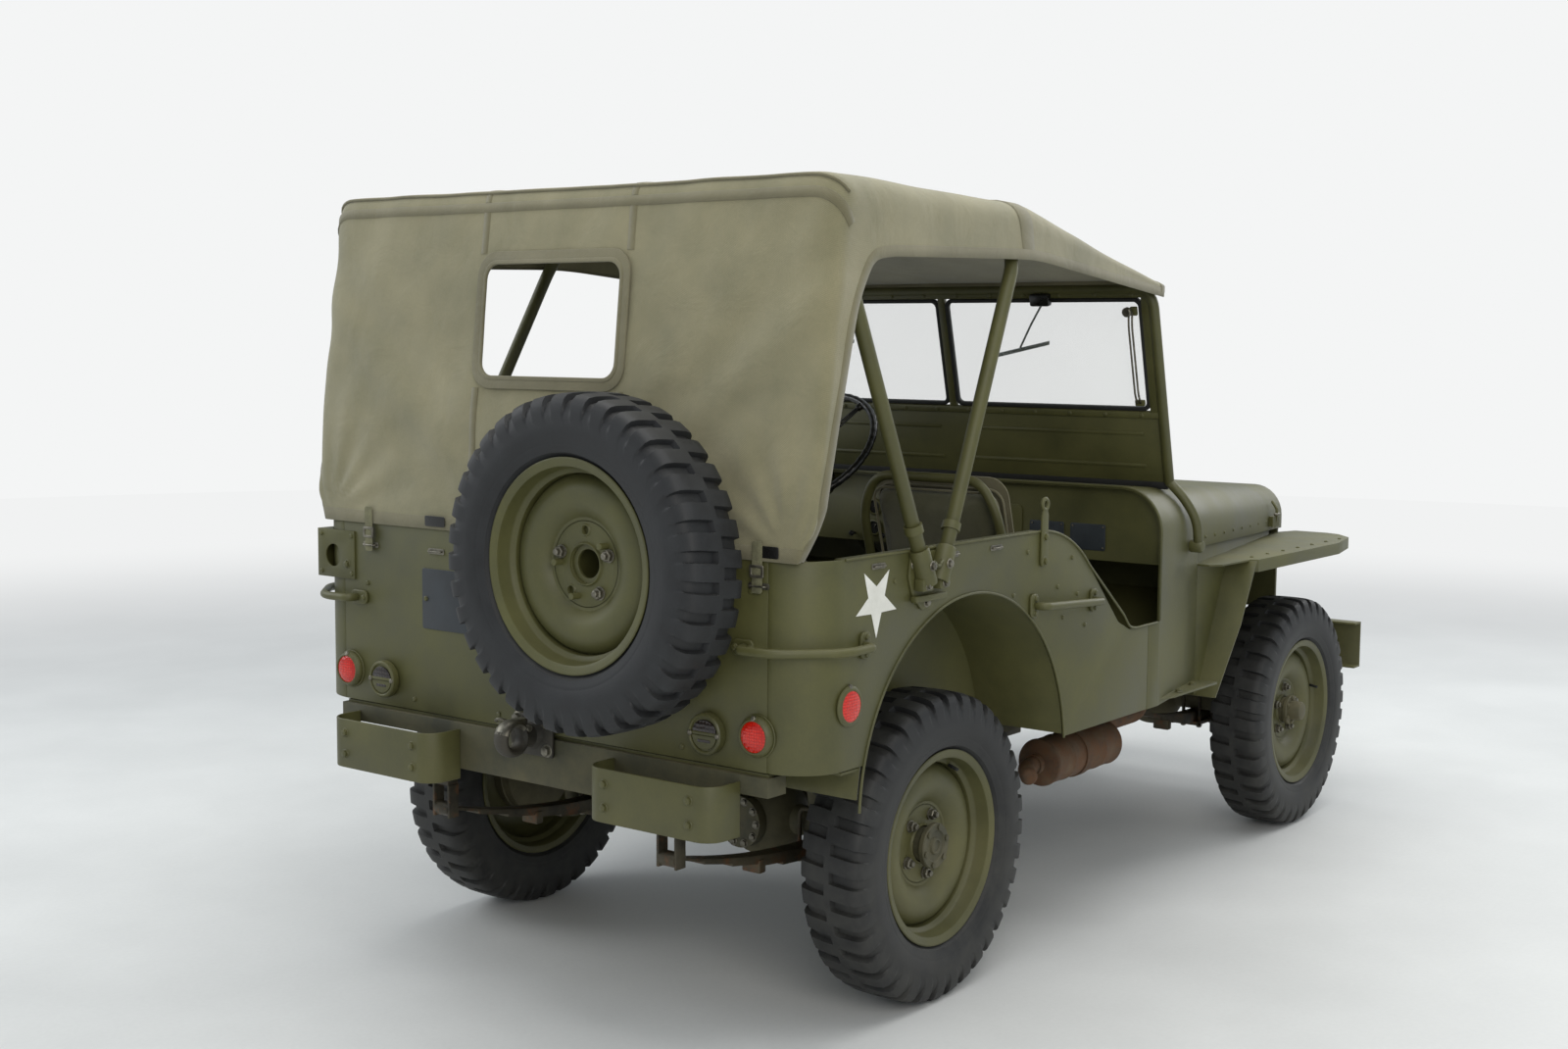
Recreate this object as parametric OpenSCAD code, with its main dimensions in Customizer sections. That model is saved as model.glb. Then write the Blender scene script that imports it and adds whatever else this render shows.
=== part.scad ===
// Open-topped army 4x4 car with its canvas top up. Millimetres.
// +X forward, +Y left, +Z up. The origin is on the ground, halfway along the vehicle.

/* [Running gear] */
// Distance between the axles
wheelbase = 2032; // [1950:1:2500]
// Distance between the wheel middles of one axle
track = 1245; // [1230:1:1320]
// Outer radius of a tyre
tyre_r = 350; // [330:1:372]
// Width of a tyre
tyre_w = 165; // [140:1:175]
// Radius over the rim flange
rim_r = 221; // [200:1:240]
// Pitch circle of the wheel studs
stud_pcd = 139.7; // [120:0.1:150]
// Number of wheel studs
stud_count = 5; // [4:1:8]
// Radius of the centre hole in a wheel
wheel_bore_r = 40; // [30:1:48]
// Radius of a brake drum
drum_r = 118; // [105:1:140]
// Distance of a kingpin from the wheel's middle
kingpin_in = 122.5; // [118:0.5:140]
// Length of a steering arm behind its kingpin
steer_arm = 130; // [110:1:160]
// Chord of a front leaf spring
front_spring = 921; // [700:1:1000]
// Chord of a rear leaf spring
rear_spring = 1067; // [800:1:1100]
// Width of a leaf spring
spring_w = 44; // [30:1:44]

/* [Frame] */
// Width over the two frame rails
frame_w = 743; // [700:1:760]
// Depth of a frame rail
rail_h = 106; // [80:1:110]
// Width of a frame rail
rail_w = 45; // [35:1:60]
// Height of the underside of the rails at the front
rail_z = 440; // [436:1:460]
// Rise of the rails over the rear axle
kick_up = 60; // [30:1:80]
// Distance from the front axle to the bumper's face
front_overhang = 528; // [500:1:700]
// Length of the front bumper
bumper_w = 1356; // [1000:1:1500]
// Height of the front bumper
bumper_h = 150; // [120:1:180]
// Radius of the four holes in the bumper's face
bumper_hole_r = 8; // [5:0.5:12]

/* [Body] */
// Distance from the rear axle back to the rear panel
tail_back = 580; // [540:1:700]
// Width over the body sides
body_w = 1504; // [1480:1:1560]
// Height of the lower edge of the sides, ahead of the wheel arches
sill_z = 540; // [530:1:560]
// Height of the top edge of the body
rim_z = 1045; // [980:1:1100]
// Thickness of the body panels
panel_t = 6; // [4:0.5:10]
// Radius of the rear wheel arch
arch_r = 425; // [400:1:440]
// Radius of the rear body corners, seen from above
corner_r = 110; // [60:1:150]
// Distance from the front axle back to the front edge of the door opening
door_front_back = 1107; // [1080:1:1130]
// Distance from the front axle back to the hood's rear edge
hood_back = 751; // [730:1:780]
// Distance from the front axle forward to the grille
grille_ahead = 243; // [220:1:270]
// Half width of the hood at its rear
hood_rear_hw = 690; // [670:1:720]
// Half width of the hood at its front
hood_front_hw = 500; // [470:1:540]
// Height of the flat top of the fenders
fender_z = 875; // [850:1:900]
// Depth of the turned-down lip of the fenders
fender_lip = 35; // [25:1:50]
// Half width over the front fenders
fender_hw = 775; // [765:1:800]
// Number of slots in the grille
slot_count = 9; // [5:1:11]

/* [Windscreen, top and seats] */
// Angle by which the windscreen leans back
screen_lean = 14; // [5:1:20]
// Height of the windscreen frame along its slope
screen_h = 530; // [480:1:560]
// Half width over the windscreen frame
screen_hw = 672; // [640:1:690]
// Thickness of the canvas solid
canvas_t = 5; // [4:0.5:8]
// Radius of the bow tubes
bow_r = 16; // [10:1:20]
// Width of the rear window opening
window_w = 410; // [300:1:500]
// Height of the rear window opening
window_h = 255; // [150:1:300]
// Distance of the front seat centres from the middle line
seat_y = 400; // [350:1:420]
// Width of a front seat
seat_w = 420; // [350:1:440]
// Radius of the steering wheel at its rim's middle
steering_r = 208; // [170:1:215]

/* [Spare wheel and fittings] */
// Distance from the rear axle back to the spare tyre's outer face
rear_overhang = 790; // [780:1:820]
// Distance of the spare wheel to the right of the middle line
spare_y = 280; // [200:1:330]
// Height of the spare wheel's centre
spare_z = 1022; // [980:1:1060]
// Radius of the hole in the antenna bracket
antenna_hole_r = 27; // [15:1:35]
// Radius of the opening in the tow hook
hook_hole_r = 21; // [15:1:24]

/* [Hidden] */
$fn = 64;
paint = "#585c3c";
canvas = "#80806c";
black = "#1c1d1e";
steel = "#4a463c";
glass = "#c8d4d8";
red = "#c03020";

rx = (rear_overhang - front_overhang - wheelbase) / 2;   // rear axle
fx = rx + wheelbase;                                     // front axle
hub_y = track / 2;                                       // wheel middles
kingpin_y = hub_y - kingpin_in;
gap = 0.3;                                               // between pieces that seat on each other
axle_r = 35;
diff_y = -190;                                           // axle housings sit right of the middle

tail_x = rx - tail_back;
body_hw = body_w / 2;
inner_hw = body_hw - panel_t;
seam_x = fx - door_front_back - 60;                      // front end of the body sides
door_x = fx - door_front_back;                           // front edge of the door opening
dash_x = door_x + 25;
firewall_x = fx - hood_back - 6;                         // front of the cowl
hood_x = fx - hood_back;                                 // rear of the hood
grille_x = fx + grille_ahead;
rail_top = rail_z + rail_h;
floor_z = rail_top;                                      // underside of the front floor
bed_z = rail_top + kick_up;                              // underside of the load floor
tail_z = bed_z + 9;                                      // lower edge of the rear body
step_x = rx + 250;                                       // step between the two floors
arch_x = rx + 10;
arch_z = 505;
house_y = hub_y - tyre_w / 2 - 38;                       // inner wall of a wheel house
toe_x = door_x + 65;                                     // foot of the sloping toe board
toe_z = 800;
door_sill = 762;
cowl_top = 1105;
hood_top = 1083;
nose_top = 1025;
hinge_x = fx - hood_back - 3;
hinge_z = hood_top + 7;

screen_x = fx - hood_back - 128;                         // foot of the windscreen
screen_z = 1106;
screen_r = 14;
bow_y = 726;                                             // middle of the bow legs at the top
bow_foot_y = body_hw + bow_r + 4;
rear_bow = [rx - 478, 1789];
front_bow = [rx + 210, 1770];
roof_rear = rear_bow[1] + bow_r + gap + canvas_t;
roof_front = front_bow[1] + bow_r + gap + canvas_t + 4;

wheel_x = fx - 1182;                                     // steering wheel centre
wheel_z = 1170;
column_y = 335;
column_tilt = 45;
spare_x = rx - rear_overhang + tyre_w / 2;               // middle plane of the spare
face = 4;                                                // wheel's seat, outboard of its middle

// ---- helpers ----
module both() { children(); mirror([0, 1, 0]) children(); }
module box(a, b) { translate(a) cube(b - a); }
// an outline in X and Z, made thick along Y from y
module side_plate(y, t) { translate([0, y + t, 0]) rotate([90, 0, 0]) linear_extrude(t) children(); }
// an outline in Y and Z, made thick along X from x
module cross_plate(x, t) { translate([x, 0, 0]) rotate([90, 0, 90]) linear_extrude(t) children(); }
// a round bar from p to q
module bar(p, q, r) {
    d = q - p;
    length = norm(d);
    translate(p) rotate([0, acos(d[2] / length), atan2(d[1], d[0])]) cylinder(h = length, r = r);
}
// a bent tube through the points, with a ball at each bend
module tube(points, r) {
    for (i = [0 : len(points) - 2]) bar(points[i], points[i + 1], r);
    for (i = [1 : 1 : len(points) - 2]) translate(points[i]) sphere(r = r + 0.4);
}
// the same with square bends: each stretch runs on a little past its end, every other one thinner
module mitred_tube(points, r) {
    for (i = [0 : len(points) - 2]) {
        way = (points[i + 1] - points[i]) / norm(points[i + 1] - points[i]);
        bar(points[i] - way * (i == 0 ? 0 : r / 2), points[i + 1] + way * (i == len(points) - 2 ? 0 : r / 2),
            r - (i % 2) * 0.3);
    }
}
// a round bar along Y
module pin_y(p, length, r) { translate([p[0], p[1] + length / 2, p[2]]) rotate([90, 0, 0])
    cylinder(h = length, r = r); }
// a round bar along X, from x to x + length
module pin_x(p, length, r) { translate(p) rotate([0, 90, 0]) cylinder(h = length, r = r); }
// a doorway shape: upright sides and a top with round shoulders
module arch_2d(hw, z0, z1, r) {
    translate([-hw, z0]) square([2 * hw, z1 - r - z0]);
    translate([-hw + r, z0]) square([2 * (hw - r), z1 - z0]);
    for (s = [-1, 1]) translate([s * (hw - r), z1 - r]) intersection() {
        circle(r = r);
        translate([-r, z0 - z1 + r]) square([2 * r, z1 - z0]);
    }
}
// a doorway-shaped block that tapers from x0 to x1; a, b are [half width, foot, top, shoulder]
module loft(x0, a, x1, b) {
    hull() {
        cross_plate(x0, 0.5) arch_2d(a[0], a[1], a[2], a[3], $fn = 32);
        cross_plate(x1 - 0.5, 0.5) arch_2d(b[0], b[1], b[2], b[3], $fn = 32);
    }
}
function shrink(s, t) = [s[0] - t, s[1] - 1, s[2] - t, s[3] - t];

// ---- frame and running gear ----
// rail stations: x, rise of the rail there
rail_stations = [[fx + front_overhang - 50, 0], [rx + 230, 0], [rx - 20, kick_up], [tail_x + 54, kick_up]];
module rail_2d(inset) {
    polygon(concat([for (s = rail_stations) [s[0], rail_z + s[1] + inset]],
        [for (i = [3 : -1 : 0]) [rail_stations[i][0], rail_top + rail_stations[i][1] - inset]]));
}
// a cross member: x from, x to, z from, z to
cross_members = [
    [tail_x - 6, tail_x + 54, bed_z - rail_h, bed_z],
    [rx + 300, rx + 360, rail_z + 10, rail_top - 20],
    [fx - 232, fx - 172, rail_z + 6, rail_z + 30],
    [fx + 300, fx + 350, rail_z + 20, rail_z + 90]];
module frame() color(paint) {
    both() difference() {
        side_plate(frame_w / 2 - rail_w, rail_w) rail_2d(0);
        side_plate(frame_w / 2 - rail_w - 1, rail_w - 3) rail_2d(4);
    }
    for (m = cross_members)
        box([m[0], -frame_w / 2 + rail_w - 42, m[2]], [m[1], frame_w / 2 - rail_w + 42, m[3]]);
    // gussets that carry the rear corners of the body
    both() box([tail_x - 6, frame_w / 2 - 3, bed_z - 40], [tail_x + 54, 650, bed_z]);
}

module front_bumper() color(paint) {
    x = fx + front_overhang;
    z = rail_z + rail_h / 2 - bumper_h / 2;
    difference() {
        box([x - 50, -bumper_w / 2, z], [x, bumper_w / 2, z + bumper_h]);
        box([x - 51, -bumper_w / 2 - 1, z + 6], [x - 6, bumper_w / 2 + 1, z + bumper_h - 6]);
        for (y = [-1, 1], dz = [-40, 40])
            pin_x([x - 7, y * (frame_w / 2 - rail_w / 2), rail_z + rail_h / 2 + dz], 8, bumper_hole_r);
    }
    // plates that join the bumper to the rail ends
    both() box([x - 50, frame_w / 2 - rail_w - 12, rail_z], [x - 6, frame_w / 2 - rail_w, rail_top]);
}

module rear_bumperettes() color(paint) {
    length = 350;
    depth = 92;
    r = 46;
    z = bed_z - 129;
    for (y = [-405, 415]) translate([tail_x - 6, y, z]) {
        difference() {
            linear_extrude(115) difference() {
                bumperette_2d(length, depth, r);
                translate([1, 0]) bumperette_2d(length - 12, depth - 5, r - 6);
            }
            // the clipped upper corner next to the tow hook
            translate([-depth - 1, -sign(y) * length / 2, 115]) rotate([45, 0, 0])
                cube([depth + 2, 46, 46], center = false);
        }
    }
}
module bumperette_2d(length, depth, r) {
    translate([-depth + r, -length / 2]) square([depth - r, length]);
    translate([-depth, -length / 2 + r]) square([depth, length - 2 * r]);
    for (s = [-1, 1]) translate([-depth + r, s * (length / 2 - r)]) circle(r = r);
}

// antenna bracket: its inner and outer edge, foot, height and the place of its hole
bracket_in = body_hw - corner_r - 40;
bracket_out = body_hw - 17;
bracket_z = 905;
bracket_high = 115;
bracket_hole_y = body_hw - 73;
hook_x = tail_x - 6;
hook_z = bed_z + 8;
module tow_hook() color(steel) {
    box([hook_x - 10, -60, hook_z - 50], [hook_x, 60, hook_z + 45]);
    pin_x([hook_x - 46, 0, hook_z], 36, 26);
    translate([hook_x - 72, 0, hook_z]) difference() {
        union() {
            pin_y([0, 0, 0], 44, 42);
            box([0, -22, -42], [30, 22, 42]);
        }
        pin_y([0, 0, 0], 50, hook_hole_r);
    }
}

// one leaf: an arc whose lowest point is at the origin, with its ends cut at +-half
module leaf(r, half, t) {
    intersection() {
        translate([0, 0, r]) rotate([90, 0, 0]) difference() {
            cylinder(h = spring_w, r = r, center = true, $fn = 720);
            cylinder(h = spring_w + 2, r = r - t, center = true, $fn = 720);
        }
        box([-half, -spring_w, -1], [half, spring_w, half / 2]);
    }
}
leaf_t = 6;
leaf_sizes = [1, 0.84, 0.66, 0.48, 0.32];
spring_y = frame_w / 2 - rail_w / 2;
spring_top = tyre_r - axle_r - gap;
camber = 72;
// a spring under the axle at x, its hangers reaching up to the rail's underside
module spring(x, chord, under) {
    half = chord / 2;
    r = (half * half + camber * camber) / (2 * camber);
    translate([x, spring_y, spring_top - leaf_t]) for (i = [0 : len(leaf_sizes) - 1])
        translate([0, 0, -i * leaf_t]) leaf(r + i * leaf_t, half * leaf_sizes[i], leaf_t + 0.01);
    for (s = [-1, 1]) {
        eye = [x + s * half, spring_y, spring_top - leaf_t + camber];
        difference() {
            pin_y(eye, spring_w, 17);
            pin_y(eye, spring_w + 2, 8);
        }
        for (side = [-1, 1])
            translate([eye[0] - 15, spring_y + side * (spring_w / 2 + 3) - 3, eye[2] - 18])
                cube([30, 6, under - eye[2] + 18]);
        pin_y(eye, spring_w + 12, 7.9);
    }
    // clamp plate under the leaves
    box([x - 60, spring_y - 30, spring_top - 5 * leaf_t - 12], [x + 60, spring_y + 30, spring_top - 5 * leaf_t]);
}
module leaf_springs() color(steel) both() {
    spring(fx, front_spring, rail_z);
    spring(rx, rear_spring, rail_z);
    // packing under the raised rear end of the rail
    packing_x = rx - rear_spring / 2;
    box([packing_x - 15, spring_y - 25, rail_z], [packing_x + 15, spring_y + 25, rail_z + kick_up]);
}

damper_y = frame_w / 2 + 28;
// dampers: axle x, foot x, top x, top z
dampers = [[fx, 50, 90, rail_z + 60], [rx, -50, -100, rail_z + kick_up + 50]];
module shock_absorbers() color(paint) both() for (d = dampers) {
    foot = [d[0] + d[1], damper_y, spring_top - 50];
    top = [d[0] + d[2], damper_y, d[3]];
    middle = foot + (top - foot) * 0.45;
    bar(foot, middle, 18);
    bar(middle, top, 23);
    pin_y([foot[0], (damper_y + spring_y + 30) / 2, foot[2] + 12], damper_y - spring_y - 30, 8);
    pin_y([top[0], (damper_y + frame_w / 2) / 2, top[2] - 20], damper_y - frame_w / 2, 8);
}

ball_r = 50;
module axle_housing(x, end_y, nose) {
    translate([x, 0, tyre_r]) {
        pin_y([0, 0, 0], 2 * end_y, axle_r);
        translate([0, diff_y, 0]) {
            sphere(r = 100);
            pin_x([nose > 0 ? 60 : -60 - 68, 0, 0], 68, 32);
            pin_x([nose > 0 ? -108 : 80, 0, 0], 28, 62);
        }
    }
}
module front_axle() color(paint) {
    difference() {
        union() {
            axle_housing(fx, kingpin_y - 20, -1);
            both() translate([fx, kingpin_y, tyre_r]) sphere(r = ball_r);
        }
        both() translate([fx, kingpin_y, 0]) cylinder(h = 2 * tyre_r, r = 11 + gap);
    }
}
module rear_axle() color(paint) {
    axle_housing(rx, hub_y - 54, 1);
    both() {
        pin_y([rx, hub_y - 51, tyre_r], 6, drum_r);
        pin_y([rx, hub_y - 29, tyre_r], 40, 20);
    }
}

// the left knuckle, about its own kingpin
module knuckle() color(paint) {
    plate_y = kingpin_in - 64;
    translate([fx, kingpin_y, tyre_r]) {
        for (s = [-1, 1]) {
            foot_z = s > 0 ? ball_r + 6 : -ball_r - 20;
            box([-32, -22, foot_z], [32, plate_y + 2, foot_z + 14]);
            translate([0, 0, s > 0 ? 12 : -ball_r - 8]) cylinder(h = ball_r - 4, r = 11);
        }
        box([-32, plate_y, -ball_r - 20], [32, plate_y + 10, ball_r + 20]);
        pin_y([0, kingpin_in - 51, 0], 6, drum_r);
        pin_y([0, kingpin_in - 29, 0], 40, 20);
        // arm to the tie rod
        box([-steer_arm, -22, ball_r + 6], [-30, 10, ball_r + 20]);
        translate([-steer_arm, 0, ball_r + 6]) cylinder(h = 14, r = 16);
        translate([-steer_arm, 0, ball_r - 12]) cylinder(h = 20, r = 7);
    }
}
module knuckle_left() knuckle();
module knuckle_right() mirror([0, 1, 0]) knuckle();
rod_z = tyre_r + ball_r - 9;
module tie_rod() color(steel) difference() {
    union() {
        pin_y([fx - steer_arm, 0, rod_z], 2 * (kingpin_y - 12), 9);
        both() translate([fx - steer_arm, kingpin_y, rod_z - 10]) cylinder(h = 24 - gap, r = 19);
    }
    both() translate([fx - steer_arm, kingpin_y, rod_z - 20]) cylinder(h = 50, r = 7 + gap);
}

// a wheel about the Y axis with its outer side at +Y
module wheel() color(paint) {
    difference() {
        rotate([-90, 0, 0]) rotate_extrude($fn = 96) {
            polygon([[rim_r, -70], [rim_r, -64], [rim_r - 13, -60], [rim_r - 17, -36], [rim_r - 29, -26],
                [rim_r - 29, 18], [rim_r - 17, 30], [rim_r - 13, 60], [rim_r, 64], [rim_r, 70],
                [rim_r - 19, 66], [rim_r - 23, 33], [rim_r - 35, 22], [rim_r - 35, -30],
                [rim_r - 23, -40], [rim_r - 19, -66]]);
            polygon([[wheel_bore_r, face], [95, face], [112, 18], [140, 30], [165, 24], [rim_r - 36, -6],
                [rim_r - 34, -6], [rim_r - 34, 4], [168, 31], [140, 37], [108, 25], [92, face + 7],
                [wheel_bore_r, face + 7]]);
        }
        for (i = [0 : stud_count - 1]) rotate([0, i * 360 / stud_count, 0])
            pin_y([stud_pcd / 2, face, 0], 30, 7.5);
    }
}
// brake drum, hub and studs, which turn with the wheel
module hub(cap_r, cap_y) color(paint) {
    difference() {
        union() {
            rotate([-90, 0, 0]) translate([0, 0, face - 50]) difference() {
                cylinder(h = 50, r = drum_r);
                translate([0, 0, -1]) cylinder(h = 45, r = drum_r - 8);
            }
            pin_y([0, face - 25, 0], 50, 34);
            pin_y([0, face + 20, 0], 40, wheel_bore_r - 1);
            pin_y([0, (face + 40 + cap_y) / 2, 0], cap_y - face - 38, cap_r);
            for (i = [0 : stud_count - 1]) rotate([0, i * 360 / stud_count, 0])
                pin_y([stud_pcd / 2, face + 12, 0], 26, 7);
        }
        pin_y([0, face - 50 + 21.5, 0], 47, 20 + gap);
    }
}
module tyre() color(black) rotate([-90, 0, 0]) rotate_extrude($fn = 96) {
    w = tyre_w / 2;
    seat = rim_r - 12.7;
    side = [[seat, 59], [rim_r + 0.5, 62], [rim_r + 5, w - 8], [rim_r + 40, w], [tyre_r - 50, w],
        [tyre_r - 22, w - 6], [tyre_r - 5, w - 16], [tyre_r, w - 30]];
    polygon(concat(side, [for (i = [len(side) - 1 : -1 : 0]) [side[i][0], -side[i][1]]]));
}
module left_of(x) translate([x, hub_y, tyre_r]) children();
module right_of(x) mirror([0, 1, 0]) left_of(x) children();
module front_wheel() { wheel(); hub(31, 78); }
module rear_wheel() { wheel(); hub(52, 56); }
module wheel_front_left() left_of(fx) front_wheel();
module wheel_front_right() right_of(fx) front_wheel();
module wheel_rear_left() left_of(rx) rear_wheel();
module wheel_rear_right() right_of(rx) rear_wheel();
module tyre_front_left() left_of(fx) tyre();
module tyre_front_right() right_of(fx) tyre();
module tyre_rear_left() left_of(rx) tyre();
module tyre_rear_right() right_of(rx) tyre();
module on_spare() translate([spare_x, -spare_y, spare_z]) rotate([0, 0, 90]) children();
module spare_wheel() on_spare() wheel();
module spare_tyre() on_spare() tyre();

// ---- engine, drive and exhaust ----
engine_z = rail_z + 30;
module engine_block() color(steel) {
    box([fx - 540, -150, engine_z], [fx + 40, 150, 900]);
}
module gearbox() color(steel) {
    pin_x([firewall_x + 8, 0, 600], fx - 540 - firewall_x - 8, 145);
    box([dash_x + 45, -110, 410], [firewall_x + 8, 110, rail_top - 6]);
    box([dash_x - 70, diff_y - 55, 375], [dash_x + 150, -110, rail_top - 6]);
}
case_z = 420;
module propeller_shafts() color(steel) {
    ends = [[[dash_x - 70, diff_y, case_z], [rx + 128, diff_y, tyre_r]],
        [[dash_x + 150, diff_y, case_z], [fx - 128, diff_y, tyre_r]]];
    for (e = ends) {
        way = (e[1] - e[0]) / norm(e[1] - e[0]);
        bar(e[0] + way * 40, e[1] - way * 40, 22);
        pin_x([min(e[0][0], e[0][0] + sign(way[0]) * 48), e[0][1], e[0][2] ], 48, 30);
        pin_x([min(e[1][0], e[1][0] - sign(way[0]) * 48), e[1][1], e[1][2] ], 48, 30);
    }
}
module exhaust() color(steel) {
    y = -frame_w / 2 - 165;
    x = seam_x - 180;
    z = 400;
    pin_x([x, y, z], 360, 62);
    tube([[x + 1, y, z], [x - 60, y, z], [x - 110, y - 40, z - 10]], 22);
    tube([[x + 359, y, z], [x + 420, y, z], [x + 520, -frame_w / 2 - 60, z], [fx - 560, -frame_w / 2 - 60, z],
        [fx - 520, -frame_w / 2 - 45, rail_top + 60], [fx - 500, -150 - 24, rail_top + 130],
        [fx - 420, -150 - 24, rail_top + 130]], 22);
    box([x + 150, y, z + 40], [x + 190, -frame_w / 2, z + 50 + 20]);
}

// ---- steering ----
module on_column() translate([wheel_x, column_y, wheel_z]) rotate([0, 90 + column_tilt, 0]) children();
column_len = 800;
module column_hole(r) on_column() cylinder(h = column_len, r = r);
module steering_column() color(paint) {
    difference() {
        on_column() {
            translate([0, 0, 24]) cylinder(h = column_len - 30, r = 19);
        }
        box([fx - 600, column_y - 60, rail_top - 200], [fx - 400, column_y + 60, rail_top]);
    }
    box([wheel_x + 570, column_y - 40, rail_top], [wheel_x + 660, column_y + 30, rail_top + 90]);
}
module steering_wheel() color(black) on_column() {
    rotate_extrude() translate([steering_r, 0]) circle(r = 11, $fn = 24);
    translate([0, 0, -6]) cylinder(h = 30 - gap, r = 30);
    for (a = [90, 210, 330]) rotate([0, 0, a]) bar([20, 0, 8], [steering_r - 3, 0, 0], 7);
}

// ---- nose ----
lamp = [375, 830];                                       // headlamp centre: y, z
lamp_r = 83.7;
lamp_depth = 70;
module grille() color(paint) {
    pitch = 54;
    difference() {
        cross_plate(grille_x, 12) difference() {
            arch_2d(hood_front_hw - 6, 570, nose_top - 6, 90);
            for (i = [0 : slot_count - 1])
                translate([(i - (slot_count - 1) / 2) * pitch - 15, 640]) square([30, 330]);
        }
        both() pin_x([grille_x - 1, lamp[0], lamp[1]], 20, lamp_r);
        // lower corners cut away for the turned wheels
        both() box([grille_x - 1, frame_w / 2 + 15, 560], [grille_x + 13, hood_front_hw + 10, tyre_r + 280]);
    }
    // headlamp cans behind their holes
    both() difference() {
        translate([grille_x - lamp_depth, lamp[0], lamp[1]]) {
            pin_x([0, 0, 0], lamp_depth + 6, lamp_r + 1);
            intersection() {
                sphere(r = lamp_r);
                box([-lamp_r, -lamp_r, -lamp_r], [1, lamp_r, lamp_r]);
            }
        }
        pin_x([grille_x - 40, lamp[0], lamp[1]], 60, lamp_r - 5);
    }
    both() pin_x([grille_x + 12, lamp[0], lamp[1] - 130], 16, 30);
    // legs down to the frame
    both() box([grille_x, frame_w / 2 - rail_w, rail_top], [grille_x + 12, frame_w / 2, 571]);
}
module radiator() color(steel) {
    box([grille_x - 100, -270, rail_top], [grille_x - 30, 270, 950]);
    box([grille_x - 110, -frame_w / 2 + rail_w, rail_top - 10], [grille_x - 20, frame_w / 2 - rail_w, rail_top]);
}
hood_rear = [hood_rear_hw, 922, hood_top, 110];
hood_nose = [hood_front_hw, fender_z + 14, nose_top, 95];
module hood() color(paint) {
    difference() {
        loft(hood_x, hood_rear, grille_x + 22, hood_nose);
        loft(hood_x - 1, shrink(hood_rear, 5), grille_x + 16, shrink(hood_nose, 5));
        // the front stays open over the grille
        cross_plate(grille_x - 2, 30) arch_2d(hood_front_hw - 5.5, 400, nose_top - 5.5, 90);
    }
    // hinge knuckles
    difference() {
        both() {
            pin_y([hinge_x, 360, hinge_z], 110, 6);
            box([hinge_x, 305, hinge_z - 9], [hinge_x + 40, 415, hinge_z - 3]);
        }
        both() pin_y([hinge_x, 360, hinge_z], 140, 3 + gap);
    }
    // rest blocks for the folded windscreen
    both() box([hood_x + 60, 330, hood_top - 6], [hood_x + 100, 430, hood_top + 26]);
}

// the fender's flat top seen from above, with or without its shelf back to the cowl
module fender_plan(inner, shelf) {
    back = shelf ? [[firewall_x + 6, inner], [firewall_x + 6, body_hw - 30], [firewall_x + 40, body_hw - 6]]
        : [[fx - 552, inner]];
    polygon(concat(back, [[fx - 552, fender_hw - 20], [fx - 540, fender_hw], [fx + 60, fender_hw],
        [fx + 240, fender_hw - 40], [fx + 312, fender_hw - 100], [fx + 333, fender_hw - 150],
        [fx + 333, hood_front_hw + 20], [grille_x + 14, hood_front_hw - 5], [grille_x - 2, hood_front_hw - 5],
        [grille_x - 2, inner]]));
}
apron_y = frame_w / 2 - 6;
module front_fenders() color(paint) both() difference() {
    fender();
    // room for the headlamp can
    pin_x([grille_x - lamp_depth - lamp_r - 3, lamp[0], lamp[1]], lamp_depth + lamp_r + 20, lamp_r + 2.3);
}
module fender() {
    z = fender_z;
    translate([0, 0, z - 5]) linear_extrude(5) fender_plan(apron_y, true);
    // lip round the outer edge
    translate([0, 0, z - fender_lip]) linear_extrude(fender_lip - 2) difference() {
        fender_plan(apron_y, false);
        offset(delta = -5) fender_plan(apron_y - 20, false);
    }
    // inner panel down to the frame
    box([fx - 400, apron_y, rail_top], [grille_x - 6, apron_y + 6, z - 3]);
    // upstand that the hood shuts over
    translate([0, 0, z - 3]) linear_extrude(54) polygon([[hood_x + 4, hood_rear_hw - 11],
        [hood_x + 4, hood_rear_hw - 14], [grille_x - 90, hood_front_hw + 3], [grille_x - 90, hood_front_hw + 6]]);
    // side panel between the cowl and the sloping panel
    side_plate(hood_rear_hw - 9, 5) polygon([[firewall_x + 9, 512], [fx - 727, 512], [fx - 555, z - 3],
        [firewall_x + 9, z - 3]]);
    apron(z);
}
module apron(z) {
    intersection() {
        side_plate(apron_y + 10, fender_hw - apron_y - 10) polygon([[fx - 558, z - 4], [fx - 552, z - 4],
            [fx - 728, 505], [fx - 734, 505]]);
        cross_plate(fx - 800, 300) polygon([[apron_y + 10, 500], [body_hw - 10, 500], [fender_hw - 6, 700],
            [fender_hw, z], [apron_y + 10, z]]);
    }
}

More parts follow.
